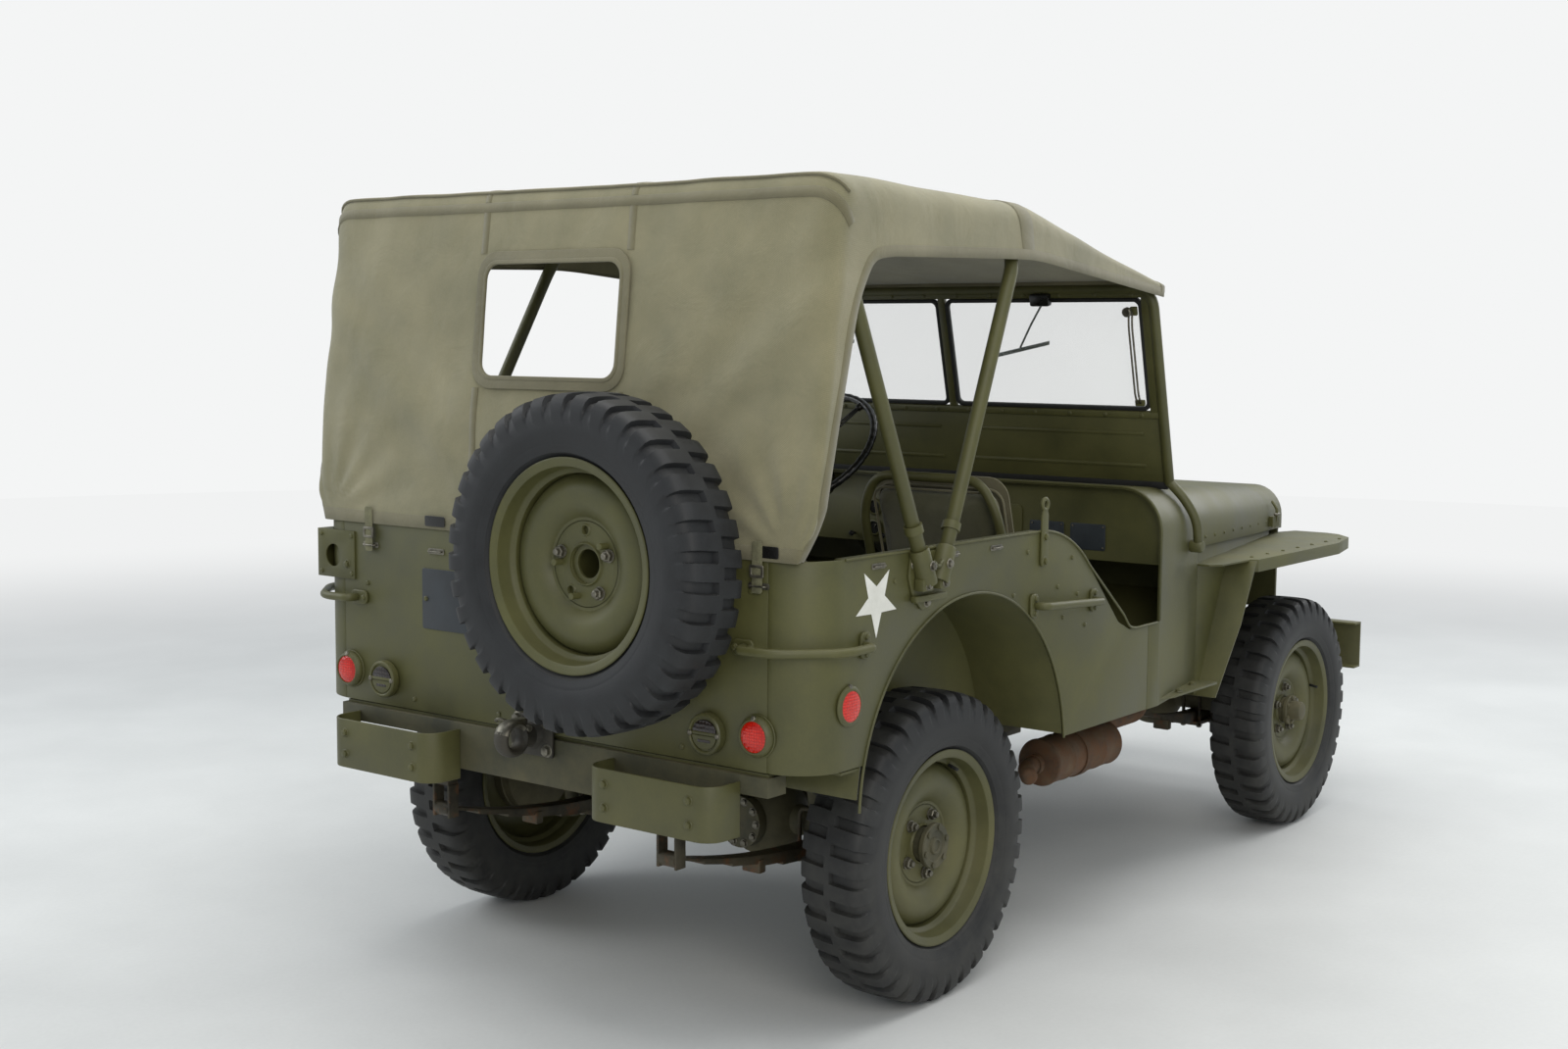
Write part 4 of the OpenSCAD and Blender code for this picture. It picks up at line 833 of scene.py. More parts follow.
def canvasFold(x, y, z, down):
    # shallow sags between the bows, and creases pulled from the corners of the rear bow
    lift = 0.0
    if down < 1.5:
        lift -= 0.007 * sin(pi * min(max((0.16 - x) / 0.81, 0), 1)) * (1 - (y / 0.75) ** 2)
        lift -= 0.005 * sin(pi * min(max((-0.65 - x) / 0.68, 0), 1)) * (1 - (y / 0.75) ** 2)
        lift += 0.0032 * noise.noise(Vector((x * 5.0, y * 2.2, 1.3)))
    else:
        fall = down - 1.5
        calm = min(1, fall / 0.1) * min(1, max(0, (2.33 - down) / 0.08))
        lift += calm * 0.0065 * noise.noise(Vector((y * 2.4, z * 6.5, 4.1)))
        lift += calm * 0.0045 * noise.noise(Vector((y * 9.0 + z * 5, z * 2.2, 7.7)))
        # short pulls that fan out of the strapped lower corners
        for corner in (0.7, -0.7):
            across, up = abs(y - corner), z - 1.05
            reach = hypot(across, up)
            ray = atan2(up, across + 0.001)
            lift += calm * 0.004 * sin(ray * 15) * exp(-(reach / 0.26) ** 2) * min(1, reach / 0.05)
        slant = (abs(y) - 0.72) * 0.8 + (1.78 - z)
        lift += calm * 0.003 * sin(slant * 34) * exp(-((slant - 0.22) / 0.16) ** 2)
    return lift


def canvasGrid():
    roofLine = [(p.x, p.z) for p in filleted([(a, 0, b) for a, b in canvas["roof"]], 0.03, 6)]
    roofPoints, roofLengths = alongLine(roofLine)
    hemLine = [(p.x, p.z) for p in filleted([(a, 0, b) for a, b in canvas["hem"]], 0.09, 6)]
    hemPoints, hemLengths = alongLine(hemLine)
    pairs = [(distanceOf(roofPoints, roofLengths, a), distanceOf(hemPoints, hemLengths, b)) for a,
        b in canvas["pairs"]]
    pairs[0], pairs[-1] = (0.0, 0.0), (roofLengths[-1], hemLengths[-1])
    rows = int(roofLengths[-1] / canvas["step"])
    across = int(1.4 / canvas["step"])
    grid, cut = [], []
    for i in range(rows + 1):
        s = roofLengths[-1] * i / rows
        for (a, b), (c, d) in zip(pairs, pairs[1:]):
            if s <= c + 1e-9:
                h = b + (d - b) * (s - a) / max(c - a, 1e-9)
                break
        edge, foot = pointAt(roofPoints, roofLengths, s), pointAt(hemPoints, hemLengths, h)
        wide = canvasHalfWidth(edge.x, edge.z)
        footWide = canvasHalfWidth(foot.x, foot.z)
        corner = Vector((edge.x, wide, edge.z))
        hem = Vector((foot.x, footWide, foot.z))
        reach = min(0.075, (hem - corner).length * 0.46)
        sideStart = corner + (hem - corner).normalized() * reach
        topStart = corner + Vector((0, -1, 0)) * 0.075
        half = [hem.lerp(sideStart, k / canvas["sideSteps"]) for k in range(canvas["sideSteps"])]
        half += [sideStart * (1 - t) ** 2 + corner * 2 * t * (1 - t) + topStart * t ** 2 for t in [k / 8
            for k in range(8)]]
        middle = [Vector((edge.x, topStart.y - 2 * topStart.y * k / across, edge.z))
            for k in range(across + 1)]
        row = half + middle + [Vector((p.x, -p.y, p.z)) for p in reversed(half)]
        grid.append(row)
        run = [0.0]
        for a, b in zip(row, row[1:]):
            run.append(run[-1] + (b - a).length)
        cut.append([(s, r - run[-1] / 2) for r in run])
    # folds move the sheet along its own normal
    normals = []
    for i in range(len(grid)):
        line = []
        for j in range(len(grid[0])):
            a = grid[min(i + 1, rows)][j] - grid[max(i - 1, 0)][j]
            b = grid[i][min(j + 1, len(grid[0]) - 1)] - grid[i][max(j - 1, 0)]
            line.append(b.cross(a).normalized() * -1)
        normals.append(line)
    if normals[rows // 3][len(grid[0]) // 2].z < 0:
        normals = [[-n for n in line] for line in normals]
    for i, row in enumerate(grid):
        for j, p in enumerate(row):
            inner = min(1.0, min(j, len(row) - 1 - j) / (canvas["sideSteps"] + 4))
            row[j] = p + normals[i][j] * canvasFold(p.x, p.y, p.z, cut[i][j][0]) * inner
    return grid, normals, cut


def addCanvas():
    grid, normals, cut = canvasGrid()
    rows, columns = len(grid), len(grid[0])
    wide, high, middle, round_ = canvas["window"]
    # the curtain's slope, to keep the window's edge in the sheet
    slope = (-1.393 + 1.468) / (1.78 - 1.046)

    def insideWindow(p):
        dy, dz = abs(p.y) - (wide / 2 - round_), abs(p.z - middle) - (high / 2 - round_)
        return (p.x < -1.36 and hypot(max(dy, 0), max(dz, 0)) + min(max(dy, dz), 0) < round_)

    form = bmesh.new()
    layer = form.loops.layers.uv.new("cut")
    made = [[form.verts.new(p) for p in row] for row in grid]
    for i in range(rows - 1):
        for j in range(columns - 1):
            centre = (grid[i][j] + grid[i + 1][j + 1]) / 2
            if insideWindow(centre):
                continue
            corners = ((i, j), (i, j + 1), (i + 1, j + 1), (i + 1, j))
            face = form.faces.new([made[a][b] for a, b in corners])
            for loop, (a, b) in zip(face.loops, corners):
                loop[layer].uv = cut[a][b]
    bmesh.ops.delete(form, geom=[v for v in form.verts if not v.link_faces], context="VERTS")
    border = [v for v in form.verts if v.is_boundary and v.co.x < -1.36 and abs(v.co.y) < 0.3
        and abs(v.co.z - middle) < 0.2]
    for v in border:
        dy, dz = abs(v.co.y) - (wide / 2 - round_), abs(v.co.z - middle) - (high / 2 - round_)
        sy, sz = copysign(1, v.co.y), copysign(1, v.co.z - middle)
        if dy > 0 and dz > 0:
            reach = round_ / hypot(dy, dz)
            dy, dz = dy * reach, dz * reach
        elif dy > dz:
            dy = round_
        else:
            dz = round_
        newZ = middle + sz * (high / 2 - round_ + dz)
        v.co.x += (newZ - v.co.z) * slope
        v.co.y, v.co.z = sy * (wide / 2 - round_ + dy), newZ
    bmesh.ops.recalc_face_normals(form, faces=form.faces)
    form.faces.ensure_lookup_table()
    top = max(form.faces, key=lambda f: f.calc_center_median().z)
    if top.normal.z < 0:
        bmesh.ops.reverse_faces(form, faces=form.faces)
    area = sum(f.calc_area() for f in form.faces)
    mesh = toMesh(form, True, 70)
    sheet = addPiece("canvasTop", mesh, topCanvas, replaces=["canvas_top"])
    wall = sheet.modifiers.new("thickness", "SOLIDIFY")
    wall.thickness = canvas["thickness"]
    wall.offset = -1

    def ribbon(line, width, lift):
        # a flat strip that follows the sheet: line holds grid places in order
        verts, faces = [], []
        for k, (i, j) in enumerate(line):
            a, b = line[max(k - 1, 0)], line[min(k + 1, len(line) - 1)]
            way = (grid[b[0]][b[1]] - grid[a[0]][a[1]]).normalized()
            out = normals[i][j]
            side = way.cross(out).normalized() * width / 2
            p = grid[i][j]
            verts += [p - side - out * 0.0002, p - side * 0.9 + out * lift, p + side * 0.9 + out * lift,
                p + side - out * 0.0002]
        for k in range(len(line) - 1):
            for m in range(4):
                n = (m + 1) % 4
                faces.append((4 * k + m, 4 * k + n, 4 * k + 4 + n, 4 * k + 4 + m))
        faces += [(0, 1, 2, 3), tuple(4 * (len(line) - 1) + m for m in (3, 2, 1, 0))]
        return meshFrom(verts, faces, angle=60)

    curtainStart = next(i for i in range(rows) if grid[i][columns // 2].z < 1.775
        and grid[i][columns // 2].x < -1.38)
    strips = []
    for sign in (1, -1):
        j = min(range(columns), key=lambda k: abs(grid[rows // 2][k].y - sign * canvas["seamSide"])
            if abs(grid[rows // 2][k].z - grid[rows // 2][columns // 2].z) < 0.02 else 9)
        upper = [(i, j) for i in range(curtainStart, rows)
            if not (abs(grid[i][j].z - middle) < high / 2 + 0.02 and abs(grid[i][j].y) < wide / 2 + 0.02)]
        runs, run = [], []
        for place in upper:
            if run and place[0] != run[-1][0] + 1:
                runs.append(run)
                run = []
            run.append(place)
        runs.append(run)
        strips += [ribbon(r, 0.02, 0.0014) for r in runs if len(r) > 2]
        strips.append(ribbon([(i, j) for i in range(0, curtainStart)], 0.018, 0.0012))
    # doubled hems all the way round
    strips += [ribbon([(i, 1) for i in range(rows)], 0.024, 0.0016),
        ribbon([(i, columns - 2) for i in range(rows)], 0.024, 0.0016),
        ribbon([(rows - 2, j) for j in range(0, columns)], 0.03, 0.0016), ribbon([(1, j) for j in range(0,
            columns)], 0.03, 0.0016)]
    # seam that joins the curtain to the roof, and the wear patch over the front bow
    bowRow = curtainStart
    strips.append(ribbon([(bowRow, j) for j in range(canvas["sideSteps"], columns - canvas["sideSteps"])],
        0.022, 0.0016))
    frontRow = min(range(rows // 2), key=lambda i: abs(grid[i][columns // 2].x + 0.675))
    strips.append(ribbon([(frontRow, j) for j in range(0, columns)], 0.06, 0.0012))
    seams = addPiece("canvasSeams", strips, seamCanvas)
    cord = sweep([grid[curtainStart - 3][j] + normals[curtainStart - 3][j] * 0.002
        for j in range(canvas["sideSteps"] + 2, columns - canvas["sideSteps"] - 2)], 0.0035, 8)
    piping = addPiece("canvasPiping", cord, seamCanvas)
    # binding round the window, laid in the curtain's slope
    up = Vector((slope, 0, 1)).normalized()
    out = Vector((-1, 0, slope)).normalized()
    centre = Vector((-1.468 + (middle - 1.046) * slope, 0, middle)) + out * 0.0035
    place = Matrix.Translation(centre) @ Matrix((Vector((0, -1, 0)), up, out)).transposed().to_4x4()
    binding = [plate(roundedRectangle(wide + 0.05, high + 0.05, round_ + 0.02), 0.003, place,
        [roundedRectangle(wide - 0.004, high - 0.004, round_)], 0.001), plate(roundedRectangle(wide + 0.012,
            high + 0.012, round_ + 0.004), 0.0058, place, [roundedRectangle(wide - 0.008, high - 0.008,
                round_ - 0.002)], 0.0024)]
    bound = addPiece("windowBinding", binding, seamCanvas)
    return grid, normals, rows, columns


canvasPlaces = addCanvas()


# hoops that carry the canvas, bent from tube, with bolted feet in the body's sockets
bow = {"radius": 0.016, "footSide": 0.772, "legs": [(-1.1, -1.363, 1.789), (-1.035, -0.675, 1.77)]}


def addBows():
    tubes, clamps, bolts = [], [], []
    for footX, topX, topZ in bow["legs"]:
        path = [(footX, bow["footSide"], 1.0), (topX, 0.726, topZ - 0.09), (topX, 0.64, topZ), (topX, -0.64,
            topZ), (topX, -0.726, topZ - 0.09), (footX, -bow["footSide"], 1.0)]
        tubes.append(sweep(filleted(path, 0.075, 8), bow["radius"], 18))
        for sign in (1, -1):
            # slotted socket round the foot and its clamp bands
            foot = Vector((footX, sign * bow["footSide"], 1.0))
            way = (Vector((topX, sign * 0.726, topZ - 0.09)) - foot).normalized()
            clamps.append(turned([(-0.03, 0.0175), (-0.03, 0.0215), (-0.024, 0.0225), (0.045, 0.0225),
                (0.05, 0.0205), (0.05, 0.0165)], foot, way, 28, True))
            clamps.append(turned([(0.088, 0.0165), (0.088, 0.0205), (0.106, 0.0205), (0.106, 0.0165)], foot,
                way, 28, True))
            clamps.append(block((footX - 0.02, sign * 0.772 - 0.012, 0.958), (footX + 0.02,
                sign * 0.772 + 0.012, 0.985), 0.004))
            bolts.append((foot + Vector((0, sign * 0.0215, 0.012)), (0, sign, 0)))
            bolts.append((foot + Vector((0, sign * 0.012, -0.029)), (0, sign, 0)))
    for sign in (1, -1):
        outline = [(-1.128, 1.038), (-1.136, 0.99), (-1.12, 0.945), (-1.085, 0.915), (-1.05, 0.915),
            (-1.012, 0.945), (-1.002, 0.99), (-1.006, 1.038)]
        clamps.append(plate(outline, 0.006, facingY(sign * 0.7556), edge=0.0018))
        clamps.append(block((-1.128, sign * 0.764 - 0.008, 0.934), (-1.008, sign * 0.764 + 0.008, 0.948),
            0.003))
        for x, z in ((-1.118, 1.015), (-1.016, 1.015), (-1.068, 0.93), (-1.068, 1.02)):
            bolts.append((Vector((x, sign * 0.7586, z)), (0, sign, 0)))
        # wing nut between the two legs
        clamps.append(sweep(filleted([(-1.085, sign * 0.785, 1.02), (-1.068, sign * 0.788, 1.006),
            (-1.051, sign * 0.785, 1.02)], 0.01), 0.004, 8))
    addPiece("topBows", tubes, olivePaint, replaces=["top_bows"])
    addPiece("bowSockets", clamps, olivePaint)
    addFasteners("bowBolts", bolts, hexBolt, wornSteel)


addBows()
print("canvas top and bows made")


# windscreen: tube frame, pressed lower panel, two panes in rubber, and its fittings
screen = {"place": (0.268, 0, 1.106), "lean": 14, "halfWidth": 0.658, "height": 0.53}


def addWindscreen():
    lean = Matrix.Translation(screen["place"]) @ Matrix.Rotation(radians(-screen["lean"]), 4, "Y")
    w, h = screen["halfWidth"], screen["height"]

    def slab(low, high, bevel=0.003):
        return block(low, high, bevel, 2, lean)

    flat = lean @ Matrix(((0, 0, 1, 0), (1, 0, 0, 0), (0, 1, 0, 0), (0, 0, 0, 1)))
    parts = [moved(sweep(filleted([(0, -w, 0), (0, -w, h), (0, w, h), (0, w, 0)], 0.055, 8), 0.014, 18),
        lean), slab((-0.004, -w, -0.002), (0.004, w, 0.182), 0.0015), slab((-0.01, -w, 0.178), (0.01, w,
            0.198), 0.005), slab((-0.01, -w + 0.01, h - 0.022), (0.01, w - 0.01, h - 0.002), 0.005),
        slab((-0.009, -0.011, 0.196), (0.009, 0.011, h - 0.018), 0.004)]
    for sign in (1, -1):
        y = sorted((sign * (w - 0.034), sign * w))
        parts.append(slab((-0.009, y[0], 0.178), (0.009, y[1], h - 0.016), 0.004))
        # stiffening swages pressed in the lower panel
        y = sorted((sign * 0.05, sign * (w - 0.06)))
        for z in (0.045, 0.135):
            parts.append(slab((-0.0075, y[0], z - 0.006), (0.0075, y[1], z + 0.006), 0.0045))
        # leg round the cowl's shoulder and its clamp
        parts.append(sweep(filleted([(0.268, sign * 0.658, 1.107), (0.278, sign * 0.698, 1.066),
            (0.293, sign * 0.7315, 1.006), (0.308, sign * 0.7295, 0.938)], 0.035), 0.013, 16))
        parts.append(turned([(0, 0.016), (0.003, 0.0175), (0.03, 0.0175), (0.036, 0.014), (0.038, 0.0)],
            (0.308, sign * 0.7076, 0.934), (0, sign, 0), 28))
        parts.append(slab((-0.018, sign * 0.605 - 0.01, 0.462), (-0.008, sign * 0.605 + 0.01, 0.486)))
        parts.append(slab((-0.018, sign * 0.6 - 0.014, 0.215), (-0.008, sign * 0.6 + 0.014, 0.232)))
    addPiece("windscreenFrame", parts, olivePaint, replaces=["windscreen_frame"])
    panes, strips, metal = [], [], []
    for sign in (1, -1):
        middle, wide, tall = sign * 0.318, 0.611, 0.305
        panes.append(plate(roundedRectangle(wide, tall, 0.018, centre=(middle, 0.353)), 0.005, flat, (),
            0.0006))
        strips.append(plate(roundedRectangle(wide + 0.004, tall + 0.004, 0.022, centre=(middle, 0.353)),
            0.014, flat, [roundedRectangle(wide - 0.018, tall - 0.018, 0.014, centre=(middle, 0.353))],
            0.003))
        # swing-out arm: two rods with a knurled knob
        for shift in (-0.005, 0.005):
            metal.append(moved(sweep(filleted([(-0.022, sign * 0.6 + shift, 0.474),
                (-0.034, sign * 0.602 + shift, 0.44), (-0.036, sign * 0.604 + shift, 0.25),
                (-0.02, sign * 0.6 + shift, 0.224)], 0.02), 0.0028, 8), lean))
        metal.append(moved(turned([(0, 0.004), (0.006, 0.004), (0.007, 0.011), (0.01, 0.013), (0.018, 0.013),
            (0.02, 0.01), (0.02, 0)], (-0.03, sign * 0.601, 0.478), (-1, 0, 0), 12), lean))
    # wiper arms, each from its spindle under the header
    wipers = []
    for middle in (0.33, -0.33):
        wipers.append(moved(turned([(0, 0.01), (0.012, 0.01), (0.015, 0.007), (0.024, 0.006), (0.024, 0)],
            (0.008, middle, h - 0.014), (1, 0, 0), 16), lean))
        wipers.append(moved(sweep([(0.024, middle, h - 0.014), (0.02, middle + 0.06, h - 0.1),
            (0.016, middle + 0.1, h - 0.165)], 0.003, 8), lean))
        wipers.append(moved(sweep([(0.012, middle + 0.005, h - 0.15), (0.01, middle + 0.19, h - 0.19)],
            0.0035, 8, squash=2.0), lean))
        wipers.append(moved(block((-0.03, middle - 0.03, h - 0.04), (-0.008, middle + 0.03, h - 0.006),
            0.006), lean))
    # rubber lip under the frame, and the canvas's fillet that closes on the header
    strips.append(slab((-0.006, -w + 0.004, -0.02), (0.006, w - 0.004, 0.001), 0.002))
    grid, normals, rows, columns = canvasPlaces
    verts = []
    for j in range(columns):
        header = lean @ Vector((0, 0, h + 0.008))
        i = min(range(rows // 2), key=lambda k: abs(grid[k][j].x - header.x))
        p = grid[i][j] - normals[i][j] * 0.002
        if abs(p.y) < w - 0.02 and p.z > header.z:
            verts += [Vector((header.x - 0.005, p.y, p.z)), Vector((header.x + 0.005, p.y, p.z)),
                Vector((header.x + 0.005, p.y, header.z)), Vector((header.x - 0.005, p.y, header.z))]
    count = len(verts) // 4
    faces = [(4 * k + m, 4 * k + (m + 1) % 4, 4 * k + 4 + (m + 1) % 4, 4 * k + 4 + m)
        for k in range(count - 1) for m in range(4)] + [(0, 1, 2, 3), tuple(4 * (count - 1) + m for m in (3,
        2, 1, 0))]
    print("header fillet", count)
    addPiece("headerFillet", meshFrom(verts, faces, angle=60), seamCanvas)
    addPiece("windscreenGlass", panes, windowGlass, replaces=["windscreen_glass"])
    addPiece("windscreenRubber", strips, softRubber)
    addPiece("windscreenArms", metal, wornSteel)
    addPiece("wipers", wipers, bakelite)
    spots = []
    for k in range(12):
        y = -0.6 + 1.2 * k / 11
        for z in (0.188, h - 0.012):
            for side in (-1, 1):
                spots.append((lean @ Vector((side * 0.0102, y, z)), lean.to_3x3() @ Vector((side, 0, 0))))
    addFasteners("windscreenScrews", spots, roundScrew, olivePaint)


addWindscreen()
print("windscreen made")


# seats: bent tube frames and stuffed duck cushions
frontSeat = {"halfWidth": 0.198, "tube": 0.012, "cushion": ((-0.405, -0.184, 0.787), (-0.097, 0.184, 0.86)),
    "backFoot": (-0.428, 0.872), "backTop": (-0.5, 1.118)}


def stuffed(low, high, crown, name):
    # a closed pad: crowned faces, sides drawn in between the corners, then blown up as cloth
    low, high = Vector(low), Vector(high)
    size, middle = high - low, (low + high) / 2
    form = bmesh.new()
    bmesh.ops.create_cube(form, size=2)
    bmesh.ops.subdivide_edges(form, edges=form.edges[:], cuts=15, use_grid_fill=True)
    for v in form.verts:
        x, y, z = v.co
        # rounded plan and rounded sides
        shrink = (1 - abs(z) ** 4 * 0.08)
        round_ = (abs(x) ** 8 + abs(y) ** 8) ** (1 / 8)
        fit = max(abs(x), abs(y)) / round_ if round_ > 0 else 1
        pinch = 1 - 0.025 * (1 - (y if abs(x) > abs(y) else x) ** 2)
        lift = crown * (1 - x ** 4) * (1 - y ** 4)
        v.co = Vector((x * fit * shrink * pinch * size.x / 2, y * fit * shrink * pinch * size.y / 2,
            z * size.z / 2 * (0.8 + lift) * (1 - 0.25 * max(abs(x), abs(y)) ** 8))) + middle
    mesh = toMesh(form, True, 80)
    thing = bpy.data.objects.new(name + "Form", mesh)
    scene.collection.objects.link(thing)
    remesh = thing.modifiers.new("skin", "REMESH")
    remesh.mode = "VOXEL"
    remesh.voxel_size = 0.008
    skin = bpy.data.meshes.new_from_object(thing.evaluated_get(bpy.context.evaluated_depsgraph_get()))
    thing.modifiers.clear()
    thing.data = skin
    rest = np.zeros(len(skin.vertices) * 3, np.float32)
    skin.vertices.foreach_get("co", rest)
    cloth = thing.modifiers.new("cloth", "CLOTH")
    cloth.settings.quality = 5
    cloth.settings.use_pressure = True
    cloth.settings.uniform_pressure_force = 4.0
    cloth.settings.tension_stiffness = 12
    cloth.settings.shrink_min = -0.035
    cloth.settings.effector_weights.gravity = 0.0
    cloth.point_cache.frame_start = 1
    cloth.point_cache.frame_end = 20
    for number in range(1, 21):
        scene.frame_set(number)
    result = bpy.data.meshes.new_from_object(thing.evaluated_get(bpy.context.evaluated_depsgraph_get()))
    blown = np.zeros(len(result.vertices) * 3, np.float32)
    result.vertices.foreach_get("co", blown)
    bpy.data.objects.remove(thing)
    scene.frame_set(1)
    move = (blown - rest).reshape(-1, 3)
    length = np.linalg.norm(move, axis=1, keepdims=True)
    move *= np.minimum(1.0, 0.009 / np.maximum(length, 1e-6))
    final = (rest.reshape(-1, 3) + move).astype(np.float32)
    result.vertices.foreach_set("co", final.ravel())
    form = bmesh.new()
    form.from_mesh(result)
    bmesh.ops.smooth_vert(form, verts=form.verts, factor=0.5, use_axis_x=True, use_axis_y=True,
        use_axis_z=True)
    bmesh.ops.smooth_vert(form, verts=form.verts, factor=0.5, use_axis_x=True, use_axis_y=True,
        use_axis_z=True)
    return toMesh(form, True, 80)


def welt(low, high, level, inset=0.004, radius=0.0035):
    # piping round the pad's edge
    loop = roundedRectangle(high[0] - low[0] - inset * 2, high[1] - low[1] - inset * 2, 0.035, 6,
        ((low[0] + high[0]) / 2, (low[1] + high[1]) / 2))
    return sweep([(x, y, level) for x, y in loop], radius, 8, closed=True)


def addPads(name, low, high, place, body, made):
    pad = moved(made[0], place)
    piece = addPiece(name, pad, seatCanvas, body)
    middle = (low[2] + high[2]) / 2
    edge = (high[2] - low[2]) * 0.3
    addPiece(name + "_welt", [moved(welt(low, high, middle + edge), place), moved(welt(low, high,
        middle - edge), place)], seamCanvas, body)


def addSeats():
    s = frontSeat
    low, high = s["cushion"]
    cushion = stuffed(low, high, 0.28, "cushion")
    # a back is made lying down about the origin, then stood up
    backLow, backHigh = (-0.13, -0.184, -0.022), (0.13, 0.184, 0.022)
    back = stuffed(backLow, backHigh, 0.45, "back")
    foot, top = Vector((s["backFoot"][0], 0, s["backFoot"][1])), Vector((s["backTop"][0], 0, s["backTop"][1]))
    upward = (top - foot).normalized()
    facing = Vector((0, 1, 0)).cross(upward).normalized()
    stand = Matrix.Translation((foot + top) / 2 + facing * 0.012) @ Matrix((upward, Vector((0, 1, 0)),
        upward.cross(Vector((0, 1, 0))))).transposed().to_4x4()
    for side, sign, body in (("driver", 1, "body"), ("passenger", -1, "passenger_seat_frame")):
        shift = Matrix.Translation((0, sign * 0.4, 0))
        w = s["halfWidth"]
        tubes = []
        hoop = filleted([(-0.105, w, 0.778), (-0.43, w, 0.778), (-0.515, w, 1.06), (-0.529, w - 0.045, 1.149),
            (-0.529, -w + 0.045, 1.149), (-0.515, -w, 1.06), (-0.43, -w, 0.778), (-0.105, -w, 0.778)], 0.07,
            8)
        tubes.append(sweep(hoop, s["tube"], 16))
        for end in (1, -1):
            bottom = 0.553 if side == "driver" else 0.59
            tubes.append(sweep(filleted([(-0.107, end * w, 0.778), (-0.115, end * w, 0.76), (-0.115, end * w,
                bottom)], 0.02), s["tube"], 16))
            tubes.append(sweep([(-0.415, end * w, 0.553), (-0.415, end * w, 0.776)], s["tube"], 16))
            if side == "passenger":
                tubes.append(turned([(-0.011, 0.0053), (-0.011, 0.0135), (-0.009, 0.015), (0.009, 0.015),
                    (0.011, 0.0135), (0.011, 0.0053)], (-0.115, end * w, 0.574), (0, 1, 0), 24, True))
            else:
                tubes.append(turned([(0, 0.024), (0.003, 0.024), (0.005, 0.02), (0.006, 0.012)],
                    (-0.115, end * w, 0.552), (0, 0, 1), 24))
            tubes.append(turned([(0, 0.024), (0.003, 0.024), (0.005, 0.02), (0.006, 0.012)], (-0.415, end * w,
                0.5523), (0, 0, 1), 24))
        tubes.append(sweep([(-0.115, -w, 0.75), (-0.115, w, 0.75)], 0.01, 14))
        tubes.append(plate(roundedRectangle(0.32, 0.372, 0.02, centre=(-0.252, 0)), 0.003,
            Matrix.Translation((0, 0, 0.7845))))
        addPiece(f"{side}SeatFrame", [moved(t, shift) for t in tubes], olivePaint, body,
            replaces=[f"{side}_seat"])
        addPads(f"{side}Cushion", low, high, shift, body, [cushion])
        addPads(f"{side}Back", backLow, backHigh, shift @ stand, body, [back])
        # canvas panel laced to the hoop behind the pad
        addPiece(f"{side}BackPanel", moved(plate(roundedRectangle(0.285, 0.385, 0.05), 0.004,
            Matrix.Identity(4)), shift @ stand @ Matrix.Translation((0.012, 0, -0.024))), seamCanvas, body)
    # the bench behind
    low, high = (-1.13, -0.475, 0.803), (-0.757, 0.475, 0.882)
    bench = stuffed(low, high, 0.25, "bench")
    addPads("rearCushion", low, high, Matrix.Identity(4), "body", [bench])
    backLow, backHigh = (-0.138, -0.475, -0.028), (0.138, 0.475, 0.028)
    back = stuffed(backLow, backHigh, 0.3, "rearBack")
    foot, top = Vector((-1.106, 0, 0.884)), Vector((-1.174, 0, 1.152))
    upward = (top - foot).normalized()
    stand = Matrix.Translation((foot + top) / 2) @ Matrix((upward, Vector((0, 1, 0)),
        upward.cross(Vector((0, 1, 0))))).transposed().to_4x4()
    addPads("rearBack", backLow, backHigh, stand, "body", [back])
    tubes = []
    for end in (1, -1):
        y = end * 0.437
        tubes.append(sweep(filleted([(-0.775, y, 0.613), (-0.775, y, 0.795), (-1.13, y, 0.795), (-1.15, y,
            0.88), (-1.215, y, 1.12)], 0.03), 0.012, 14))
        tubes.append(sweep([(-1.115, y, 0.613), (-1.115, y, 0.795)], 0.012, 14))
    tubes.append(sweep(filleted([(-1.213, -0.437, 1.11), (-1.217, -0.4, 1.145), (-1.217, 0.4, 1.145),
        (-1.213, 0.437, 1.11)], 0.03), 0.012, 14))
    tubes.append(plate(roundedRectangle(0.375, 0.94, 0.02, centre=(-0.943, 0)), 0.003, Matrix.Translation((0,
        0, 0.8005))))
    addPiece("rearSeatFrame", tubes, olivePaint, replaces=["rear_seat"])


addSeats()
print("seats made")


# lamps and reflectors
rearLamps = {"redPlaces": [(0.62, 0.689), (-0.62, 0.689)], "blackoutPlaces": [(0.494, 0.679),
    (-0.494, 0.679)], "sidePlace": (-1.34, 0.747)}


